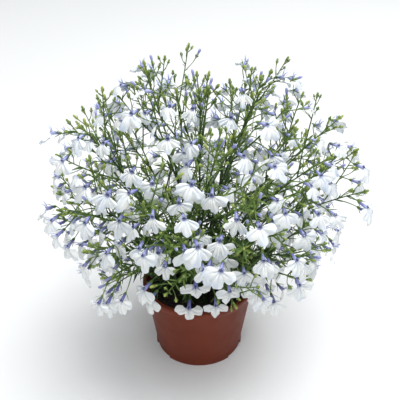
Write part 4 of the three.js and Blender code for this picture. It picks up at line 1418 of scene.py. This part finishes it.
def add_cluster(body, young, curve, chance, buds):
    """Buds by turns below a tip, and a young bloom beside the lowest of them"""
    tip, heading = curve.tip, heading_on(curve, 1)
    add_bud(body, tip, heading, BUD_LENGTH, chance)
    length_left = math.dist(curve.start, curve.tip)
    begin = chance.uniform(*ANY_TURN)
    for i in range(buds):
        share = i / (buds - 1)
        t = 1 - mix(*CLUSTER_FEET, share) / length_left
        at = bend_at(curve, t)
        turn = begin + i * GOLDEN_TURN
        way = lean(heading_on(curve, t), turn, math.radians(chance.uniform(*CLUSTER_LEANS)))
        length = mix(*CLUSTER_STALKS, share) * chance.uniform(*STALK_CHANCE)
        end = plus(at, way, length)
        turned = unit(plus(way, heading, TURNED_UP))
        shares = np.linspace(0, 1, len(BUD_STALK_RADII))
        path = soft_curve(at, times(way, length), end, times(turned, length), shares)
        tube(body, path, BUD_STALK_RADII, BUD_STALK_SIDES, GREEN_TONE)
        add_bud(body, end, turned, mix(*CLUSTER_BUDS, share) * chance.uniform(*BUD_CHANCE), chance)
        if i == 0 and chance.random() < YOUNG_SHARE:
            add_young(young, plus(end, turned, YOUNG_FOOT), turned, chance.uniform(*YOUNG_LENGTHS))
        bract = lean(heading, turn, BRACT_LEAN)
        blade(body, at, bract, heading, chance.uniform(*BRACT_LENGTHS), BRACT_WIDTH, BRACT_TONE)


print("a cluster of buds has", points_of(add_cluster, Body(), front_stem, chance, 4), "points")

# %% Leaves along a stem
# The low tones of the first leaves are partly painted shade in the heart of the bush
# Rows of leaves: their first and last place and their number, then from foot to tip their lengths, widths
# and tones
STEM_LEAVES = ((0.1, 0.97, 24), (17, 6), (2.4, 1.2), (0.05, 0.68))
TWIG_LEAVES = ((0.15, 0.95, 9), (12, 5), (1.9, 1.1), (0.45, 0.68))
BUD_SHOOT_LEAVES = ((0.15, 0.7, 4), (8, 5), (1.4, 0.9), (0.45, 0.6))
SIDE_SHOOT_LEAVES = ((0.2, 1, 8), (11, 7), (2.0, 1.3))
EDGE_SHOOT_LEAVES = ((0.3, 1, 9), (11, 7), (2.8, 1.8), (0.35, 0.65))
LEAF_TURNS, LEAF_LEANS = (-0.4, 0.4), (38, 62)
LENGTH_CHANCE, WIDTH_CHANCE, TONE_CHANCE = (0.8, 1.2), (0.85, 1.15), (-0.25, 0.2)
LEAF_BENDS = (0.05, 0.3)


def add_leaves(body, curve, chance, places, lengths, widths, tones):
    """Leaves by turns along a stem"""
    places = np.linspace(*places)
    for i, t in enumerate(places):
        at, heading = bend_at(curve, t), heading_on(curve, t)
        turn = i * GOLDEN_TURN + chance.uniform(*LEAF_TURNS)
        way = lean(heading, turn, math.radians(chance.uniform(*LEAF_LEANS)))
        share = i / (len(places) - 1)
        length = mix(*lengths, share) * chance.uniform(*LENGTH_CHANCE)
        width = mix(*widths, share) * chance.uniform(*WIDTH_CHANCE)
        tone = mix(*tones, share) + chance.uniform(*TONE_CHANCE)
        blade(body, at, way, heading, length, width, tone, chance.uniform(*LEAF_BENDS))


print("the leaves of a stem have", points_of(add_leaves, front_stem, chance, *STEM_LEAVES), "points")

# %% Thin shoots that carry only buds
RACEME_LEANS = (14, 34)
INWARD, INWARD_LIFT = 0.5, 0.9
LEAST_RISE = 0.35
RACEME_LIFT = 0.1
RACEME_TRIES, SHORTER = 8, 0.85
# The rings, sides, radii and tones of its stem
RACEME_FORM = (8, 6, (0.6, 0.36), np.linspace(0.38, 0.55, 8)[:, None])
RACEME_BUDS = 4
SOFT_KNEE = 0.55
# The tips of these shoots stay this far inside the frame's sides. At its top, the room is given back
SIDE_ROOM, MORE_HEIGHT = 3.0, 3.0
FRAME_LOW, FRAME_HIGH = ([1000 * float(v) for v in corner] for corner in (cad_low, cad_high))
TALLER = plus(FRAME_HIGH, (0, 0, MORE_HEIGHT))


def add_shoot(body, at, way, length, tip, count, sides, radii, tones):
    """A thin bent stem that starts from another one. What it gives back is its curve"""
    shoot = Curve(at, plus(at, way, SOFT_KNEE * length), tip, TWIG_SEGMENTS)
    path = [bend_at(shoot, s) for s in np.linspace(0, 1, count)]
    tube(body, path, np.linspace(*radii, count), sides, tones)
    return shoot


def add_raceme(body, young, curve, t, length, chance):
    """A thin shoot that rises above the blooms, made shorter until its tip is inside the frame"""
    at, heading = bend_at(curve, t), heading_on(curve, t)
    way = lean(heading, chance.uniform(0, FULL_TURN), math.radians(chance.uniform(*RACEME_LEANS)))
    inward = unit((HEART[0] - at[0], HEART[1] - at[1], INWARD_LIFT * BUSH_RADIUS))
    way = plus(way, inward, INWARD)
    way = unit((way[0], way[1], max(way[2], LEAST_RISE)))
    for _ in range(RACEME_TRIES):
        tip = plus(plus(at, way, length), (0, 0, RACEME_LIFT * length))
        if all(a + SIDE_ROOM < v < b - SIDE_ROOM for v, a, b in zip(tip, FRAME_LOW, TALLER)):
            break
        length *= SHORTER
    shoot = add_shoot(body, at, way, length, tip, *RACEME_FORM)
    add_cluster(body, young, shoot, chance, RACEME_BUDS)
    add_leaves(body, shoot, chance, *BUD_SHOOT_LEAVES)


print("a shoot with buds has", points_of(add_raceme, Body(), front_stem, 0.8, 30, chance), "points")

# %% Leafy side shoots
# Before the bare peat, in front of this line and within so much of its middle, none of them grows
OPEN_FRONT, OPEN_MIDDLE, OPEN_WIDTH = -62.0, -12.0, 32.0
RIM_ROOM, PEAT_ROOM = 3, 4
SIDE_TRIES, SIDE_LEANS, SIDE_LIFT = 6, (35, 65), 0.15
# The rings, sides, radii and tone of a side shoot's stem
SIDE_FORM = (6, 5, (0.55, 0.3), 0.3)
# Low side shoots have dark leaves, partly old and partly painted shade in the heart of the bush, and those
# from halfway up the stem have fresh ones
SIDE_TONES, FRESH_FROM, PALER_TIP = (-0.1, 0.35), 0.5, 0.3


def add_side_shoot(body, curve, t, length, chance):
    """A leafy shoot that keeps out of the pot and out of the view to the bare peat, or none"""
    at, heading = bend_at(curve, t), heading_on(curve, t)
    for _ in range(SIDE_TRIES):
        way = lean(heading, chance.uniform(0, FULL_TURN), math.radians(chance.uniform(*SIDE_LEANS)))
        tip = plus(plus(at, way, length), (0, 0, SIDE_LIFT * length))
        over_the_pot = math.hypot(tip[0], tip[1]) < RIM_RADIUS + RIM_ROOM
        in_the_peat = over_the_pot and tip[2] < POT_HEIGHT + PEAT_ROOM
        hides_the_peat = tip[1] < OPEN_FRONT and abs(tip[0] - OPEN_MIDDLE) < OPEN_WIDTH
        if not (in_the_peat or hides_the_peat):
            break
    else:
        return
    shoot = add_shoot(body, at, way, length, tip, *SIDE_FORM)
    low = mix(*SIDE_TONES, min(t / FRESH_FROM, 1))
    add_leaves(body, shoot, chance, *SIDE_SHOOT_LEAVES, (low, low + PALER_TIP))


print("side shoots carry", SIDE_SHOOT_LEAVES[0][-1], "leaves")

# %% The frame's own stems
STEM_RINGS, STEM_SIDES = 19, 8
STEM_FOOT = (0, 0, -3)
TIP_SHARE, TAPER_POWER = 0.8, 0.8


def add_stem(body, curve, radius, tones):
    """A stem or a twig. One that grows from the peat goes on a little way down into it"""
    shares = np.linspace(0, 1, STEM_RINGS)
    path = [bend_at(curve, t) for t in shares]
    radii = mix(radius, TIP_SHARE * TIP_RADIUS, shares**TAPER_POWER)
    if curve.leaves_at is None:
        path = [plus(path[0], STEM_FOOT)] + path
        radii = np.append(radius, radii)
    tube(body, path, radii, STEM_SIDES, np.linspace(*tones, len(path))[:, None])


print("a stem has", points_of(add_stem, front_stem, STEM_RADIUS, (0, 1)), "points")

# %% The green parts at a bloom
# The narrow leaf at the foot of each bloom's stalk
FOOT_LEAF_RISE, FOOT_LEAF_LENGTH, FOOT_LEAF_WIDTH = 0.3, 8, 1.5


def add_bloom_greens(body, bloom, chance):
    """A bloom's stalk and cup, and the leaf below its stalk"""
    add_stalk(body, bloom, chance)
    add_calyx(body, bloom, chance)
    way = unit_row(np.array(bloom.base) - np.array(bloom.anchor))
    heading = heading_on(bloom.curve, bloom.stand)
    way = unit_row(way + FOOT_LEAF_RISE * np.array(heading))
    blade(body, bloom.anchor, way, heading, FOOT_LEAF_LENGTH, FOOT_LEAF_WIDTH, GREEN_TONE)


print("the leaf at a stalk's foot is", FOOT_LEAF_LENGTH, "mm long")

# %% All the green parts of a spray
STEM_TONES, TWIG_TONES, EDGE_SHOOT_TONES = (0.05, 0.45), (0.3, 0.55), (0.2, 0.5)
STEM_BUDS, TWIG_BUDS = 5, 3
SIDE_PLACES, SIDE_SHIFTS, SIDE_LENGTHS = (0.14, 0.22, 0.3, 0.38, 0.46, 0.55), (-0.03, 0.03), (14, 26)
HIGH_TIP = 185.0
RACEMES, HIGH_RACEMES, TOP_RACEMES = (0.68, 0.82), (0.66, 0.76, 0.86), (0.7, 0.77, 0.84, 0.9, 0.95)
RACEME_LENGTHS = (28, 46)


def raceme_places(spray):
    """Where the thin shoots leave a spray's stem. The higher it stands, the more there are"""
    if spray.node == "spray_top":
        return TOP_RACEMES
    return HIGH_RACEMES if spray.curves[0].tip[2] > HIGH_TIP else RACEMES


def add_spray_green(body, young, spray, chance):
    stem, *twigs = spray.curves
    add_stem(body, stem, STEM_RADIUS, STEM_TONES)
    add_cluster(body, young, stem, chance, STEM_BUDS)
    add_leaves(body, stem, chance, *STEM_LEAVES)
    for t in SIDE_PLACES:
        add_side_shoot(body, stem, t + chance.uniform(*SIDE_SHIFTS), chance.uniform(*SIDE_LENGTHS), chance)
    for t in raceme_places(spray):
        add_raceme(body, young, stem, t, chance.uniform(*RACEME_LENGTHS), chance)
    for twig in twigs:
        add_stem(body, twig, TWIG_RADIUS, TWIG_TONES)
        add_cluster(body, young, twig, chance, TWIG_BUDS)
        add_leaves(body, twig, chance, *TWIG_LEAVES)
    for bloom in spray.blooms:
        add_bloom_greens(body, bloom, chance)


print("a stem carries", len(SIDE_PLACES), "side shoots at most")

# %% [markdown]
# ### The sprays and shoots
# A spray is made as two pieces, because its green parts and its blooms have different finishes and are
# two different things to someone who wants to recolour the plant. Each spray has its own seeded chance,
# so a change to one of them leaves the others as they are. The higher a bloom stands, the less open it is,
# and the bluer: besides its own tone, a bloom takes a painted bluish shade that grows with its height.

# %% Make the sprays
LOW_BLOOM, BLOOM_RANGE = 90, 100
TINTS, BLUE_SHADE_RISE = (0, 0.4), 0.8
LOW_HALF_OPEN, HALF_OPEN_RISE = 0.08, 0.42
for number, spray in enumerate(sprays):
    chance = np.random.default_rng((SEED, number))
    green, petals = Body(), Body()
    add_spray_green(green, petals, spray, chance)
    mesh = make_mesh(f"green_{spray.node}", green, [GREEN])
    make_piece(f"green_{spray.node}", mesh, [spray.node])
    for bloom in spray.blooms:
        height = min(max((bloom.base[2] - LOW_BLOOM) / BLOOM_RANGE, 0), 1)
        # The tint is the bloom's own tone, at random, plus a painted bluish shade that grows with its
        # height
        tint = chance.uniform(*TINTS) + BLUE_SHADE_RISE * height
        half_open = chance.uniform(0, LOW_HALF_OPEN + HALF_OPEN_RISE * height)
        add_lip(petals, bloom, chance, tint, half_open)
        add_tube(petals, bloom, tint)
        add_ears(petals, bloom, chance, tint)
        add_anthers(petals, bloom)
    mesh = make_mesh(f"blooms_{spray.node}", petals, [PETAL, VIOLET_FINISH, ANTHER])
    make_piece(f"blooms_{spray.node}", mesh, [spray.node])
print("made", 2 * len(sprays), "pieces for", len(sprays), "sprays")

# %% Make the leafy shoots
FIRST_SHOOT_SEED = 100
SHOOT_LEAF_BEND = 0.2
for number, shoot in enumerate(shoots):
    chance = np.random.default_rng((SEED, FIRST_SHOOT_SEED + number))
    green = Body()
    (curve,) = shoot.curves
    add_stem(green, curve, TWIG_RADIUS, EDGE_SHOOT_TONES)
    for leaf in shoot.leaves:
        heading = heading_on(curve, leaf.stand)
        blade(green, leaf.anchor, leaf.way, heading, leaf.length, LEAF_WIDTH, GREEN_TONE, SHOOT_LEAF_BEND)
    add_leaves(green, curve, chance, *EDGE_SHOOT_LEAVES)
    mesh = make_mesh(f"green_{shoot.node}", green, [GREEN])
    make_piece(f"green_{shoot.node}", mesh, [shoot.node])
print("made", len(shoots), "shoots")

# %% [markdown]
# ## The pot
# A nursery pot is moulded in one shot from thin plastic: a short upright foot with recesses that let
# water out, a straight wall that leans out, and a lip with a groove and a rounded bead. Blender turns a
# profile into a round body with one formula, a ring of points for each corner of the profile. Each corner
# is first softened with a short bend, because a mould leaves no sharp edge and a softened edge catches a
# thin line of light. The recesses and the drain holes are then cut out with a Boolean modifier.

# %% The pot's profile
# Each corner's radius and height, from under the floor, up the outside and down again on the inside
POT_PROFILE = (
    (0, 0),
    (35.2, 0),
    (35.15, 4.4),
    (35.1, 7),
    (42.6, 54),
    (44.5, 58),
    (45, 60),
    (44.5, 61.5),
    (43.8, 60.6),
    (43.1, 62),
    (41.8, 61.6),
    (33.2, 7),
    (31, 2.2),
    (0, 2.2),
)
CORNER = 0.35


def softened(profile, corner):
    """The profile with each corner but the first and the last rounded, by three points each"""
    points = np.array(profile, float)
    soft = [points[0]]
    for before, at, after in zip(points, points[1:], points[2:]):
        a, b = (
            at + unit_row(end - at) * min(corner, np.linalg.norm(end - at) / 3) for end in (before, after)
        )
        soft += [(1 - t) ** 2 * a + 2 * t * (1 - t) * at + t * t * b for t in (0, 0.5, 1)]
    return np.array([*soft, points[-1]])


print("the pot's profile has", len(softened(POT_PROFILE, CORNER)), "points")

# %% [markdown]
# ### Brown plastic
# The plastic is a dull red-brown with a soft gloss. Its colour is even, apart from faint patches where
# the wall is thinner. The gloss tells it from clay: a broad, pale reflection on the side that faces the
# light. So the roughness is set in the middle, and varies only slightly.


# %% The pot's finish
POT_DARK, POT_LIGHT = (0.14, 0.024, 0.008), (0.18, 0.03, 0.011)
POT_IOR = 1.35


def make_plastic():
    finish = Finish("pot_plastic", roughness=0.42)
    finish.surface.inputs["IOR"].default_value = POT_IOR
    patchy = finish.effect(PATCHES, Scale=28, Detail=4, Low=0.3, High=0.7)
    finish.colour(finish.ramp(patchy, [(0, POT_DARK), (1, POT_LIGHT)]))
    dull = finish.effect(PATCHES, Scale=90, Detail=3, Low=-1.3, High=1.9)
    finish.join(dull, finish.surface.inputs["Roughness"])
    finish.normal(finish.effect(GRAIN, Scale=260, Strength=0.1, Depth=0.0002))
    return finish.material


POT_FINISH = make_plastic()
print("made", POT_FINISH.name)

# %% Turn the pot
POT_SIDES = 144
ON_THE_AXIS = 0.01
MERGING = 0.03 * METRES


def closed_object(name, body):
    """An object whose points that lie together are merged, so that it is one closed solid"""
    mesh = make_mesh(name, body, [POT_FINISH])
    work = bmesh.new()
    work.from_mesh(mesh)
    bmesh.ops.remove_doubles(work, verts=work.verts, dist=MERGING)
    bmesh.ops.recalc_face_normals(work, faces=work.faces)
    work.to_mesh(mesh)
    work.free()
    piece = bpy.data.objects.new(name, mesh)
    bpy.context.scene.collection.objects.link(piece)
    return piece


def rings(radii, heights, turns):
    """Rings of points about the upright axis"""
    return np.stack([radii * np.cos(turns), radii * np.sin(turns), heights + 0 * turns], axis=-1)


def turned(body, profile, sides, place=(0, 0)):
    """A profile turned about an upright axis"""
    turns = around(sides)
    rows = rings(np.maximum(profile[:, :1], ON_THE_AXIS), profile[:, 1:], turns) + (*place, 0)
    body.grid(rows, UNREAD, UNREAD, UNREAD, closed=True)


pot = Body()
turned(pot, softened(POT_PROFILE, CORNER), POT_SIDES)
pot = closed_object("pot_shell", pot)
print("the pot has", len(pot.data.polygons), "faces before it is cut")

# %% Blocks for its recesses and drain holes
RECESSES, RECESS_HEIGHT = 3, 4.0
RECESS_FROM_AXIS, RECESS_TO = 34.0, 43.0
RECESS_TURN, RECESS_STEPS = math.radians(17.5), 15
# Where a block is closed, all the points of its ring lie at its middle
BLOCK_LEVELS = (
    (-RECESS_HEIGHT, True),
    (-RECESS_HEIGHT, False),
    (RECESS_HEIGHT, False),
    (RECESS_HEIGHT, True),
)
DRAINS, DRAIN_RING, DRAIN_SIDES = 6, 21.0, 24
# The corners of the block that cuts a drain hole
DRAIN_PROFILE = np.array([(0, -3), (3, -3), (3, 5), (0, 5)], float)


def cutting_blocks():
    """What is cut from the pot: a curved block for each recess and a round one for each drain hole"""
    body = Body()
    for i in range(RECESSES):
        turn = (i + 0.5) / RECESSES * FULL_TURN - math.pi / 2
        arc = rings(1, 0, turn + np.linspace(-RECESS_TURN, RECESS_TURN, RECESS_STEPS))
        ring = np.concatenate([RECESS_FROM_AXIS * arc, RECESS_TO * arc[::-1]])
        middle = ring.mean(axis=0) + 0 * ring
        rows = [(middle if closed else ring) + [0, 0, z] for z, closed in BLOCK_LEVELS]
        body.grid(np.array(rows), UNREAD, UNREAD, UNREAD, closed=True)
    for i in range(DRAINS):
        turn = i / DRAINS * FULL_TURN
        place = (DRAIN_RING * math.cos(turn), DRAIN_RING * math.sin(turn))
        turned(body, DRAIN_PROFILE, DRAIN_SIDES, place)
    return body


blocks = closed_object("cutting_blocks", cutting_blocks())
print("the blocks have", len(blocks.data.polygons), "faces")

# %% Cut the pot
SHARP_ANGLE = math.radians(40)

cut = pot.modifiers.new("cut", "BOOLEAN")
cut.object = blocks
cut.solver = "EXACT"
cut.use_self = False
result = pot.evaluated_get(bpy.context.evaluated_depsgraph_get())
shell = bpy.data.meshes.new_from_object(result)
shell.set_sharp_from_angle(angle=SHARP_ANGLE)
for helper in (pot, blocks):
    bpy.data.objects.remove(helper)
make_piece("pot_shell", shell, ["pot"])
print("the cut pot has", len(shell.polygons), "faces")

# %% [markdown]
# ## The peat
# Potting peat is dark, nearly black when moist, and rough: crumbs of all sizes, with pale fibres and
# flakes between them. The block itself fills the pot down to its floor. Its top is an uneven dome, made
# by a sum of waves of several sizes, and loose crumbs and fibres are strewn over it, each a small lump or
# a thin curl.

# %% The peat's finish
PEAT_BLACK, PEAT_BROWN, FIBRE_PALE = (0.004, 0.003, 0.0025), (0.022, 0.014, 0.01), (0.16, 0.1, 0.06)
PEAT_PATCHES, PEAT_TONES = 0.5, 0.5


def make_peat_finish():
    finish = Finish("peat", roughness=0.95)
    patchy = finish.effect(PATCHES, Scale=420, Detail=6, Low=0.3, High=0.72)
    level = weigh(finish, (patchy, PEAT_PATCHES), (finish.mark("tone"), PEAT_TONES))
    finish.colour(finish.ramp(level, [(0.1, PEAT_BLACK), (0.6, PEAT_BROWN), (1, FIBRE_PALE)]))
    finish.normal(finish.effect(GRAIN, Scale=1100, Strength=0.9, Depth=0.0006))
    return finish.material


PEAT_FINISH = make_peat_finish()
print("made", PEAT_FINISH.name)

# %% The bed of peat
SOIL_TOP, SOIL_DOME = 53.0, 1.5
PEAT_RADIUS = 40.6
BED_MIDDLE, BED_RINGS, BED_SIDES = 0.05, 56, 120
PEAT_FOOT = np.array([(BED_MIDDLE, 2.25), (31.0, 2.25), (33.1, 7.0)])
BED_TONE = 0.2
WAVES, WAVE_PACES = 40, (0.25, 1.9)
# The height of a wave, and what keeps the slowest waves from being too high
WAVE_HEIGHT, WAVE_EASING = 0.16, 0.4
PEAT_SEED = 200
chance = np.random.default_rng((SEED, PEAT_SEED))
waves = [
    (chance.uniform(0, FULL_TURN), chance.uniform(*WAVE_PACES), chance.uniform(*ANY_TURN))
    for _ in range(WAVES)
]


def peat_top(x, y):
    """The height of the peat's top: a dome with waves that run in all directions"""
    radius = np.hypot(x, y) / PEAT_RADIUS
    height = SOIL_TOP + SOIL_DOME * (1 - radius**2)
    for turn, pace, begin in waves:
        along = x * math.cos(turn) + y * math.sin(turn)
        height = height + WAVE_HEIGHT / (WAVE_EASING + pace) * np.sin(pace * along + begin)
    return height


def peat_bed():
    body = Body()
    turns = np.linspace(0, FULL_TURN, BED_SIDES, endpoint=False)
    radii = np.linspace(PEAT_RADIUS, BED_MIDDLE, BED_RINGS)[:, None]
    top = rings(radii, 0 * radii, turns)
    top[..., 2] = peat_top(top[..., 0], top[..., 1])
    sides = rings(PEAT_FOOT[:, :1], PEAT_FOOT[:, 1:], turns)
    body.grid(np.concatenate([sides, top]), UNREAD, UNREAD, BED_TONE, closed=True)
    return body


bed = peat_bed()
print("the bed of peat has", bed.count, "points, its middle at", round(peat_top(0, 0), 1), "mm")

# %% Crumbs
CRUMB_RINGS, CRUMB_SIDES = 5, 6
CRUMB_ROUGHNESS, CRUMB_STRETCHES = 0.28, (0.6, 1.2)


def add_crumb(body, at, size, chance):
    """A ball of few points, each of them pushed in or out"""
    shares = np.linspace(0, np.pi, CRUMB_RINGS)[:, None]
    turns = np.linspace(0, FULL_TURN, CRUMB_SIDES, endpoint=False) + chance.uniform(0, 1)
    rough = 1 + chance.uniform(-CRUMB_ROUGHNESS, CRUMB_ROUGHNESS, (CRUMB_RINGS, CRUMB_SIDES, 1))
    lump = rings(np.sin(shares), np.cos(shares), turns) * size * rough
    lump = lump * chance.uniform(*CRUMB_STRETCHES, 3)
    lump[0], lump[-1] = lump[0].mean(axis=0), lump[-1].mean(axis=0)
    body.grid(np.array(at) + lump, UNREAD, UNREAD, chance.uniform(0, 1) ** 3, closed=True)


print("a crumb has", CRUMB_RINGS * CRUMB_SIDES, "points")

# %% Fibres
# A fibre is a row of short steps, each of them turned a little
FIBRE_STEPS, FIBRE_STEP, FIBRE_TURNS = 5, 1.1, (-0.5, 0.5)
FIBRE_LIFT, FIBRE_ARCH, FIBRE_PACE, FIBRE_HIGHEST = 0.35, 0.3, 0.8, 56


def fibre_path(x, y, heading):
    """A curl that lies on the peat and ends at the pot's wall at the latest"""
    path = []
    for step in range(FIBRE_STEPS):
        height = peat_top(x, y) + FIBRE_LIFT + FIBRE_ARCH * math.sin(step * FIBRE_PACE)
        path.append((x, y, min(height, FIBRE_HIGHEST)))
        heading += chance.uniform(*FIBRE_TURNS)
        x, y = x + FIBRE_STEP * math.cos(heading), y + FIBRE_STEP * math.sin(heading)
        if math.hypot(x, y) > PEAT_RADIUS:
            break
    return path


print("a fibre has up to", FIBRE_STEPS, "points")

# %% Strew crumbs and fibres over the bed
CRUMBS, FIBRES = 900, 140
# Most crumbs are small
SMALL_CRUMBS, LARGE_CRUMBS, SMALL_SHARE = (0.25, 0.6), (0.6, 1.3), 0.75
CRUMB_SPREAD, FIBRE_SPREAD = 0.96, 0.95
CRUMB_LIFT = 0.2
FIBRE_RADII, FIBRE_SIDES, FIBRE_TONES = (0.14, 0.06), 4, (0.4, 1)


def strewn(reach, most):
    """A place on the bed, by chance"""
    radius, turn = reach * math.sqrt(chance.uniform(0, most)), chance.uniform(0, FULL_TURN)
    return radius * math.cos(turn), radius * math.sin(turn)


for _ in range(CRUMBS):
    x, y = strewn(PEAT_RADIUS, CRUMB_SPREAD)
    size = chance.uniform(*(SMALL_CRUMBS if chance.random() < SMALL_SHARE else LARGE_CRUMBS))
    add_crumb(bed, (x, y, peat_top(x, y) + CRUMB_LIFT * size), size, chance)
for _ in range(FIBRES):
    path = fibre_path(*strewn(FIBRE_SPREAD * PEAT_RADIUS, 1), chance.uniform(0, FULL_TURN))
    if len(path) > 2:
        tube(bed, path, np.linspace(*FIBRE_RADII, len(path)), FIBRE_SIDES, chance.uniform(*FIBRE_TONES))
make_piece("peat_bed", make_mesh("peat_bed", bed, [PEAT_FINISH]), ["peat"])
print("a bed with", CRUMBS, "crumbs and", FIBRES, "fibres")

# %% [markdown]
# ## Table and light
# The plant is photographed on a pale table before a white ground. A large soft light from above, behind
# and to the right gives the shadow towards the front left, and a weaker one from the front keeps the near
# petals bright. A pale world adds light from all sides, which fills the gaps between the petals.

# %% The table
FLOOR_SIZE = 2.0
TABLE_DARK, TABLE_LIGHT = (0.76, 0.77, 0.78), (0.81, 0.815, 0.82)


def make_table_finish():
    finish = Finish("table", roughness=0.8)
    patchy = finish.effect(PATCHES, Scale=1.5, Detail=1, Low=0.2, High=0.8)
    finish.colour(finish.ramp(patchy, [(0, TABLE_DARK), (1, TABLE_LIGHT)]))
    return finish.material


mesh = bpy.data.meshes.new("table")
corners = [(x * FLOOR_SIZE, y * FLOOR_SIZE, 0) for x, y in ((-1, -1), (1, -1), (1, 1), (-1, 1))]
mesh.from_pydata(corners, [], [(0, 1, 2, 3)])
mesh.materials.append(make_table_finish())
table = bpy.data.objects.new("table", mesh)
bpy.context.scene.collection.objects.link(table)
table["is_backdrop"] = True
print("table", 2 * FLOOR_SIZE, "m wide")


# %% The lights and the world
SKY_COLOUR, SKY_STRENGTH = (0.92, 0.98, 1, 1), 0.26


def area_light(name, place, power, size):
    """A square light that looks at the plant"""
    light = bpy.data.lights.new(name, "AREA")
    light.energy, light.size = power, size
    lamp = bpy.data.objects.new(name, light)
    bpy.context.scene.collection.objects.link(lamp)
    lamp.location = place
    lamp.rotation_euler = (Vector(PLANT_MIDDLE) - lamp.location).to_track_quat("-Z", "Y").to_euler()
    lamp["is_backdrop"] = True


area_light("window", place=(0.32, 0.12, 1.6), power=40, size=1.6)
area_light("front_fill", place=(-0.2, -0.9, 0.95), power=5, size=0.6)

world = bpy.data.worlds.new("pale_room")
world.use_nodes = True
sky = world.node_tree.nodes["Background"]
sky.inputs["Color"].default_value = SKY_COLOUR
sky.inputs["Strength"].default_value = SKY_STRENGTH
bpy.context.scene.world = world
bpy.context.scene.view_settings.view_transform = "Standard"
print("two lights and a pale world")

# %% [markdown]
# ## Check and finish
# The dressed plant must not outgrow its frame.

# %% Write the sizes and finish
low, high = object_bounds()
meshes = [o.data for o in bpy.data.objects if o.type == "MESH"]
triangles = [sum(len(p.vertices) - 2 for p in mesh.polygons) for mesh in meshes]
print("triangles:", sum(triangles), "in all, at most", max(triangles), "a piece")
grown = [*(cad_low - low), *(high - cad_high)]
print("grown beyond the frame by mm:", [round(1000 * float(v), 1) for v in grown])
